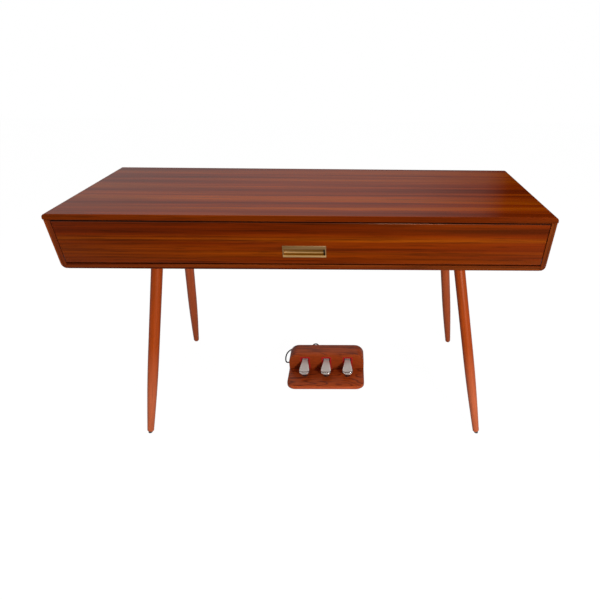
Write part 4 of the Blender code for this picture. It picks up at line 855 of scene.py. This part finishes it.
class DESKPIANO_OT_legs(Operator):
    """Turns the four legs, and finishes their glides and the leg plates"""

    bl_idname = "desk_piano.legs"
    bl_label = "Legs"

    def execute(self, context):
        c = colours()
        beech = {
            # Orange stain with a soft peach sheen, paled towards the foot by painted light
            "front": leg_finish("stained beech with painted light, front", c.leg_foot_painted_light, c.leg_top),
            # The same stain, even from end to end in the piano's shade
            "rear": leg_finish("stained beech, rear", c.leg_rear, c.leg_rear),
        }
        # Moulded nylon: dull brownish black
        nylon = grained_finish("moulded nylon, dark", "#3C3634", 0.45, 0.0005, 0.00005)
        # Powder coat: black with a fine orange peel
        coated = grained_finish("powder-coated steel, black", "#1A1A1B", 0.45, 0.0005, 0.00008)
        for corner, (side_x, side_y) in CORNERS.items():
            top = Vector((side_x * LEG_TOP[0], side_y * LEG_TOP[1], LEG_TOP[2]))
            foot = Vector((side_x * LEG_FOOT[0], side_y * LEG_FOOT[1], LEG_FOOT[2]))
            axis = top - foot
            leg = turned_piece("turned_leg_" + corner, leg_profile(axis.length), 64)
            remember_grain(leg)
            settle_mesh(leg, Matrix.Translation(foot) @ axis.to_track_quat("Z", "Y").to_matrix().to_4x4())
            smooth_shading(leg, 30)
            fit_piece(leg, "leg_" + corner, beech[corner.split("_")[0]])
            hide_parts("leg_" + corner)
            copy_node("glide_" + corner, 0.0006, nylon)
            copy_node("leg_plate_" + corner, 0.0008, coated)
        return {"FINISHED"}


# Recessed pull

# Heights of the pull's rim and of its cup, each with the plane of its mouth and its painted light and
# shade from bottom to top, and half the cup's width
RIM_HEIGHTS = (0.6510, 0.6856)
RIM_MOUTH = -0.2642
RIM_PAINTED_SHADING = [
    (0.0, "#785630"), (0.10, "#B48C54"), (0.18, "#B48C54"), (0.22, "#785830"), (0.72, "#785830"),
    (0.85, "#6E5026"), (1.0, "#785830"),
]
CUP_HEIGHTS = (0.6573, 0.6753)
CUP_MOUTH = -0.263
CUP_HALF_WIDTH = 0.0585
CUP_PAINTED_SHADING = [
    (0.0, "#A06818"), (0.14, "#98620C"), (0.28, "#703C00"), (0.44, "#845004"), (0.54, "#BE9050"),
    (0.70, "#D0A468"), (0.77, "#74500E"), (1.0, "#704A10"),
]


class DESKPIANO_OT_pull(Operator):
    """Finishes the recessed brass pull"""

    bl_idname = "desk_piano.pull"
    bl_label = "Recessed pull"

    def execute(self, context):
        # Bare brushed brass: a golden metal with fine lines
        brass = brushed_finish("brushed brass", colours().brass, 0.24)
        # Brass with painted light and shade: a soft brown frame with one painted highlight line below
        rim = hollow_brass("brass with painted highlight, rim", 0.34, RIM_HEIGHTS, RIM_MOUTH, RIM_PAINTED_SHADING)
        # The cup's painted light and shade: amber below, dark where it turns and under its lip, a highlight
        # band, and a shadowed right end
        cup = hollow_brass("brass with painted light and shade, cup", 0.30, CUP_HEIGHTS, CUP_MOUTH, CUP_PAINTED_SHADING, CUP_HALF_WIDTH)
        pull = copy_node("recessed_pull", 0.0005, brass, 40)
        pull.data.materials.append(rim)
        pull.data.materials.append(cup)
        low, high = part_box("recessed_pull")
        # Frame faces take the rim's painted highlight, and faces inside the cup take its painted light and
        # shade
        for face in pull.data.polygons:
            x, y, z = face.center
            inset = min(x - low[0], high[0] - x, z - low[2], high[2] - z)
            if y < low[1] + 0.0006 and face.normal.y < -0.9:
                face.material_index = 1
            elif inset > 0.002 and face.normal.y < -0.1:
                face.material_index = 2
        return {"FINISHED"}


# Keyboard and speakers


class DESKPIANO_OT_keyboard(Operator):
    """Finishes the keys, the keyboard case with its controls, the key frame, the tray and the runners"""

    bl_idname = "desk_piano.keyboard"
    bl_label = "Keyboard"

    def execute(self, context):
        arris = sizes().key_arris
        # Polished acrylic: bright warm white with clear highlights
        ivory = grained_finish("white acrylic key tops", "#ECEAE2", 0.16, 0.02, 0.00002, spread=0.03)
        # Moulded with a fine grain: black with a satin sheen
        ebony = grained_finish("black moulded keys", "#131314", 0.38, 0.0006, 0.00006)
        # Moulded ABS: satin black, a little duller than the keys
        shell = grained_finish("moulded ABS, satin black", "#161617", 0.45, 0.0007, 0.0001)
        # Zinc plate: pale grey metal, slightly cloudy
        zinc = grained_finish("zinc-plated steel", "#B4B6B8", 0.38, 0.012, 0.00003, spread=0.2, Metallic=1.0)
        # Powder coat: dark grey with a fine orange peel
        coat = grained_finish("powder-coated steel, dark", "#1C1C1E", 0.5, 0.0006, 0.0001)
        for node in BODY_OF:
            if node.startswith("black_keys") or "sharp" in node:
                copy_node(node, arris, ebony)
            elif node.startswith(("white_keys", "key_")) and node != "key_frame":
                copy_node(node, arris, ivory)
        copy_node("keyboard_case", 0.0012, shell)
        copy_node("volume_knob", 0.0004, zinc)
        copy_node("power_button", 0.0004, shell)
        copy_node("key_frame", 0.0004, zinc)
        copy_node("drawer_tray", 0.0003, coat)
        copy_node("runner_left", 0.0003, zinc)
        copy_node("runner_right", 0.0003, zinc)
        return {"FINISHED"}


class DESKPIANO_OT_speakers(Operator):
    """Finishes the two drivers over the slots of the bottom board"""

    bl_idname = "desk_piano.speakers"
    bl_label = "Speakers"

    def execute(self, context):
        # Pressed pulp: matt charcoal with a fibrous surface
        paper = grained_finish("pressed paper cone", "#1B1B1B", 0.8, 0.002, 0.0002)
        copy_node("speaker_left", 0.0003, paper)
        copy_node("speaker_right", 0.0003, paper)
        return {"FINISHED"}


# Pedal unit

# Where a pedal's flat, satin tread faces ahead of the housing
TREAD_UP = Vector((0, -0.20, 1)).normalized()


def wool_felt(name):
    """Pressed wool: deep red, wholly matt, with a fibrous surface."""
    return grained_finish(name, colours().felt, 0.95, 0.0006, 0.0006, spread=0.4)


def round_pedal(pedal, satin):
    """Rounds a cast pedal all over, as polishing does, and gives its flat tread a satin finish."""
    apply_modifier(pedal, "REMESH", mode="VOXEL", voxel_size=0.0006)
    apply_modifier(pedal, "SMOOTH", factor=0.5, iterations=24)
    smooth_shading(pedal, 60)
    pedal.data.materials.append(satin)
    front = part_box("pedal_housing")[0][1]
    for face in pedal.data.polygons:
        level = face.normal.z > 0.95 and face.center.y > front - 0.002
        if level or (face.normal.dot(TREAD_UP) > 0.982 and face.center.y < front + 0.004):
            face.material_index = 1


class DESKPIANO_OT_pedal_unit(Operator):
    """Finishes the pedal unit's boards, pedals, felt and rubber"""

    bl_idname = "desk_piano.pedal_unit"
    bl_label = "Pedal unit"

    def execute(self, context):
        base_place = (0.02, 0.1, 0.0)
        box_place = (0.3, 0.4, 0.2)
        # Flat-cut face under satin lacquer: red-brown with dark cathedral figures
        base = unit_finish("stained ash, base", base_place, 1.0, 0.35)
        # The same, in dark strokes over the rounded housing, toned paler and greyer by painted light and
        # sheen, as it catches more light
        box = unit_finish("stained ash, box", box_place, 0.6, 0.95, (1.20, 1.24, 1.40))
        # The housing's front: plain, and darker by painted shade
        plain = unit_finish("stained ash, box front, painted shade", box_place, 0.3, 0.15, (0.74, 0.74, 0.82))
        # The base's front edge: a paler line of painted light
        edge = unit_finish("stained ash, base edge, painted light", base_place, 0.4, 0.1, (1.18, 1.36, 2.2))
        # Nickel rubbed to a satin: soft pale grey
        satin = grained_finish(
            "satin nickel plate", colours().nickel, 0.45, 0.004, 0.00001, spread=0.04, Metallic=0.3
        )
        # Polished nickel: clear bright and dark reflections round the edges
        nickel = grained_finish("bright nickel plate", colours().nickel, 0.12, 0.02, 0.00002, Metallic=1.0)
        # Pressed wool round the slots: deep red and wholly matt
        wool = wool_felt("pressed wool felt")
        # Moulded rubber: matt black
        rubber = grained_finish("moulded black rubber", "#0C0C0D", 0.62, 0.0006, 0.0001)
        # Drawn steel: bright grey metal
        steel = grained_finish("bright steel rod", "#B8BABC", 0.3, 0.01, 0.00002, Metallic=1.0)

        # Forward faces take the base edge's painted light and the housing front's painted shade
        finish_front(copy_node("pedal_base", 0, base), edge)
        finish_front(copy_node("pedal_housing", 0, box), plain, 0.5)
        copy_node("pedal_mat", 0.0004, rubber)
        copy_node("pedal_felt", 0.0006, wool)
        copy_node("pedal_shaft", 0, steel)
        for name in ("soft", "sostenuto", "sustain"):
            round_pedal(copy_node("pedal_" + name, 0, nickel, 50), satin)
            copy_node("bumper_" + name, 0.0006, rubber)
        return {"FINISHED"}


# Fittings

# Radius and height of a screw's head
PLATE_SCREW = (0.0042, 0.0022)
PANEL_SCREW = (0.0032, 0.0016)
# A leg plate's screws stand this far from the stud's place, and sink this far into its top
PLATE_SCREW_REACH = 0.026
PLATE_SCREW_SINK = 0.004
BACK_SCREW_COLUMNS = 7
BACK_SCREW_INSET = 0.007
SOCKET_SCREW_REACH = (0.062, 0.054)
SOCKET_SPACING = 0.032
SOCKET_RADII = (("adapter", 0.0046), ("pedal", 0.0075), ("phones", 0.0043))
SOCKET_RIM = 0.0009
# Section of the felt strip over the keys, how far it lies behind their front edge, and the depth of
# the deck's lip that it hangs from
STRIP_SECTION = (0.0024, 0.0012)
STRIP_SETBACK = 0.1515
LIP_DEPTH = 0.0155

FACING_DOWN = Matrix.Rotation(math.pi, 4, "X")
FACING_BACK = Matrix.Rotation(-math.pi / 2, 4, "X")


def screw_head(name, radius, height):
    """A pan-head screw with a crossed recess, seated at the origin and facing +Z."""
    deselect()
    bpy.ops.mesh.primitive_cylinder_add(vertices=32, radius=radius, depth=height, location=(0, 0, height / 2))
    head = new_piece(name)
    settle_mesh(head)
    ease_edges(head, 0.4 * height, 3)
    for turn in (0.0, math.pi / 2):
        deselect()
        bpy.ops.mesh.primitive_cube_add(size=1.0, location=(0, 0, height), rotation=(0, 0, turn))
        cutter = bpy.context.object
        cutter.scale = (1.15 * radius, 0.24 * radius, height)
        apply_modifier(head, "BOOLEAN", object=cutter, operation="DIFFERENCE", solver="EXACT")
        bpy.data.objects.remove(cutter, do_unlink=True)
    smooth_shading(head, 30)
    return head


def copies_of(model, places, node, material):
    """One piece made of a copy of the model's mesh at each place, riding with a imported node."""
    made = []
    for place in places:
        copy = bpy.data.objects.new("copy", model.data.copy())
        bpy.context.scene.collection.objects.link(copy)
        copy.data.transform(place)
        made.append(copy)
    name = model.name
    bpy.data.objects.remove(model, do_unlink=True)
    make_active(made[0])
    for copy in made:
        copy.select_set(True)
    bpy.ops.object.join()
    made[0].name = name
    made[0].data.name = name
    return fit_piece(made[0], node, material)


def socket_rim(name, radius, place, material):
    """A pressed ring round a socket's mouth, flatter than it is wide."""
    deselect()
    bpy.ops.mesh.primitive_torus_add(
        major_segments=48, minor_segments=12, major_radius=radius + SOCKET_RIM, minor_radius=SOCKET_RIM
    )
    rim = new_piece(name + "_socket_rim")
    bpy.ops.object.mode_set(mode="EDIT")
    bpy.ops.mesh.select_all(action="SELECT")
    bpy.ops.transform.resize(value=(1, 1, 0.6), center_override=(0, 0, 0))
    bpy.ops.object.mode_set(mode="OBJECT")
    settle_mesh(rim, place)
    smooth_shading(rim, 60)
    fit_piece(rim, "socket_plate", material)


def key_felt(material):
    """The strip of felt under the deck's lip, over the back of the keys."""
    keys_low, keys_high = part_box("white_keys_high")
    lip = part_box("keyboard_case")[1][2] - LIP_DEPTH
    deselect()
    bpy.ops.mesh.primitive_cube_add(size=1.0)
    strip = new_piece("key_felt")
    bpy.ops.object.mode_set(mode="EDIT")
    bpy.ops.mesh.select_all(action="SELECT")
    bpy.ops.transform.resize(value=(2 * keys_high[0], *STRIP_SECTION), center_override=(0, 0, 0))
    bpy.ops.mesh.bevel(offset=0.0004, segments=2, affect="EDGES")
    bpy.ops.object.mode_set(mode="OBJECT")
    settle_mesh(strip, Matrix.Translation((0, keys_low[1] + STRIP_SETBACK, lip - 0.0007)))
    fit_piece(strip, "keyboard_case", material)


class DESKPIANO_OT_fittings(Operator):
    """Adds the screws of the leg plates and the back, the rims of the sockets and the felt over the keys"""

    bl_idname = "desk_piano.fittings"
    bl_label = "Fittings"

    def execute(self, context):
        # Zinc plate: small bright grey heads and rims
        zinc = grained_finish("zinc-plated screws", "#B0B2B4", 0.35, 0.004, 0.00002, Metallic=1.0)
        # Blackened steel: dark, with a faint metal sheen
        black = grained_finish("blackened screws", "#1E1E20", 0.4, 0.002, 0.00002, Metallic=0.6)
        for corner, (side_x, side_y) in CORNERS.items():
            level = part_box("leg_plate_" + corner)[1][2] - PLATE_SCREW_SINK
            middle = Vector((side_x * LEG_TOP[0], side_y * LEG_TOP[1], level))
            places = [
                Matrix.Translation(middle + PLATE_SCREW_REACH * Vector((u, v, 0))) @ FACING_DOWN
                for u in (-1, 1) for v in (-1, 1)
            ]
            copies_of(screw_head("plate_screws_" + corner, *PLATE_SCREW), places, "leg_plate_" + corner, zinc)

        low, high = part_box("back_panel")
        pitch = (high[0] - low[0]) / BACK_SCREW_COLUMNS
        places = [
            Matrix.Translation((low[0] + pitch * (step + 0.5), high[1], level)) @ FACING_BACK
            for step in range(BACK_SCREW_COLUMNS)
            for level in (low[2] + BACK_SCREW_INSET, high[2] - BACK_SCREW_INSET)
        ]
        copies_of(screw_head("back_screws", *PANEL_SCREW), places, "back_panel", black)

        low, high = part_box("socket_plate")
        middle = Vector(((low[0] + high[0]) / 2, high[1], (low[2] + high[2]) / 2))
        across, up = SOCKET_SCREW_REACH
        places = [
            Matrix.Translation(middle + Vector((across * u, 0, up * v))) @ FACING_BACK
            for u in (-1, 1) for v in (-1, 1)
        ]
        copies_of(screw_head("socket_screws", *PANEL_SCREW), places, "socket_plate", black)
        for step, (name, radius) in enumerate(SOCKET_RADII):
            place = Matrix.Translation(middle + Vector((SOCKET_SPACING * (1 - step), 0, 0))) @ FACING_BACK
            socket_rim(name, radius, place, zinc)
        key_felt(wool_felt("pressed wool felt, keyboard"))
        return {"FINISHED"}


class DESKPIANO_PT_pieces(Panel):
    """The pieces and the stage, with the sizes and colours that can be changed"""

    bl_idname = "DESKPIANO_PT_pieces"
    bl_label = "Desk Piano"
    bl_space_type = "VIEW_3D"
    bl_region_type = "UI"
    bl_category = "Desk Piano"

    def draw(self, context):
        for operator in OPERATORS:
            self.layout.operator(operator.bl_idname)
        for group in (sizes(), colours(), stage_settings()):
            for name in group.__annotations__:
                self.layout.prop(group, name)


OPERATORS = (
    DESKPIANO_OT_stage,
    DESKPIANO_OT_lead,
    DESKPIANO_OT_cabinet,
    DESKPIANO_OT_legs,
    DESKPIANO_OT_pull,
    DESKPIANO_OT_keyboard,
    DESKPIANO_OT_speakers,
    DESKPIANO_OT_pedal_unit,
    DESKPIANO_OT_fittings,
)
GROUPS = (DeskPianoColours, DeskPianoSizes, DeskPianoStage)


def register():
    for item in (*GROUPS, *OPERATORS, DESKPIANO_PT_pieces):
        bpy.utils.register_class(item)
    bpy.types.Scene.desk_piano_colours = PointerProperty(type=DeskPianoColours)
    bpy.types.Scene.desk_piano_sizes = PointerProperty(type=DeskPianoSizes)
    bpy.types.Scene.desk_piano_stage = PointerProperty(type=DeskPianoStage)


def unregister():
    for name in ("desk_piano_colours", "desk_piano_sizes", "desk_piano_stage"):
        delattr(bpy.types.Scene, name)
    for item in reversed((*GROUPS, *OPERATORS, DESKPIANO_PT_pieces)):
        bpy.utils.unregister_class(item)


def main():
    register()
    bpy.ops.desk_piano.stage()
    bpy.ops.desk_piano.lead()
    bpy.ops.desk_piano.cabinet()
    bpy.ops.desk_piano.legs()
    bpy.ops.desk_piano.pull()
    bpy.ops.desk_piano.keyboard()
    bpy.ops.desk_piano.speakers()
    bpy.ops.desk_piano.pedal_unit()
    bpy.ops.desk_piano.fittings()


if __name__ == "__main__":
    main()
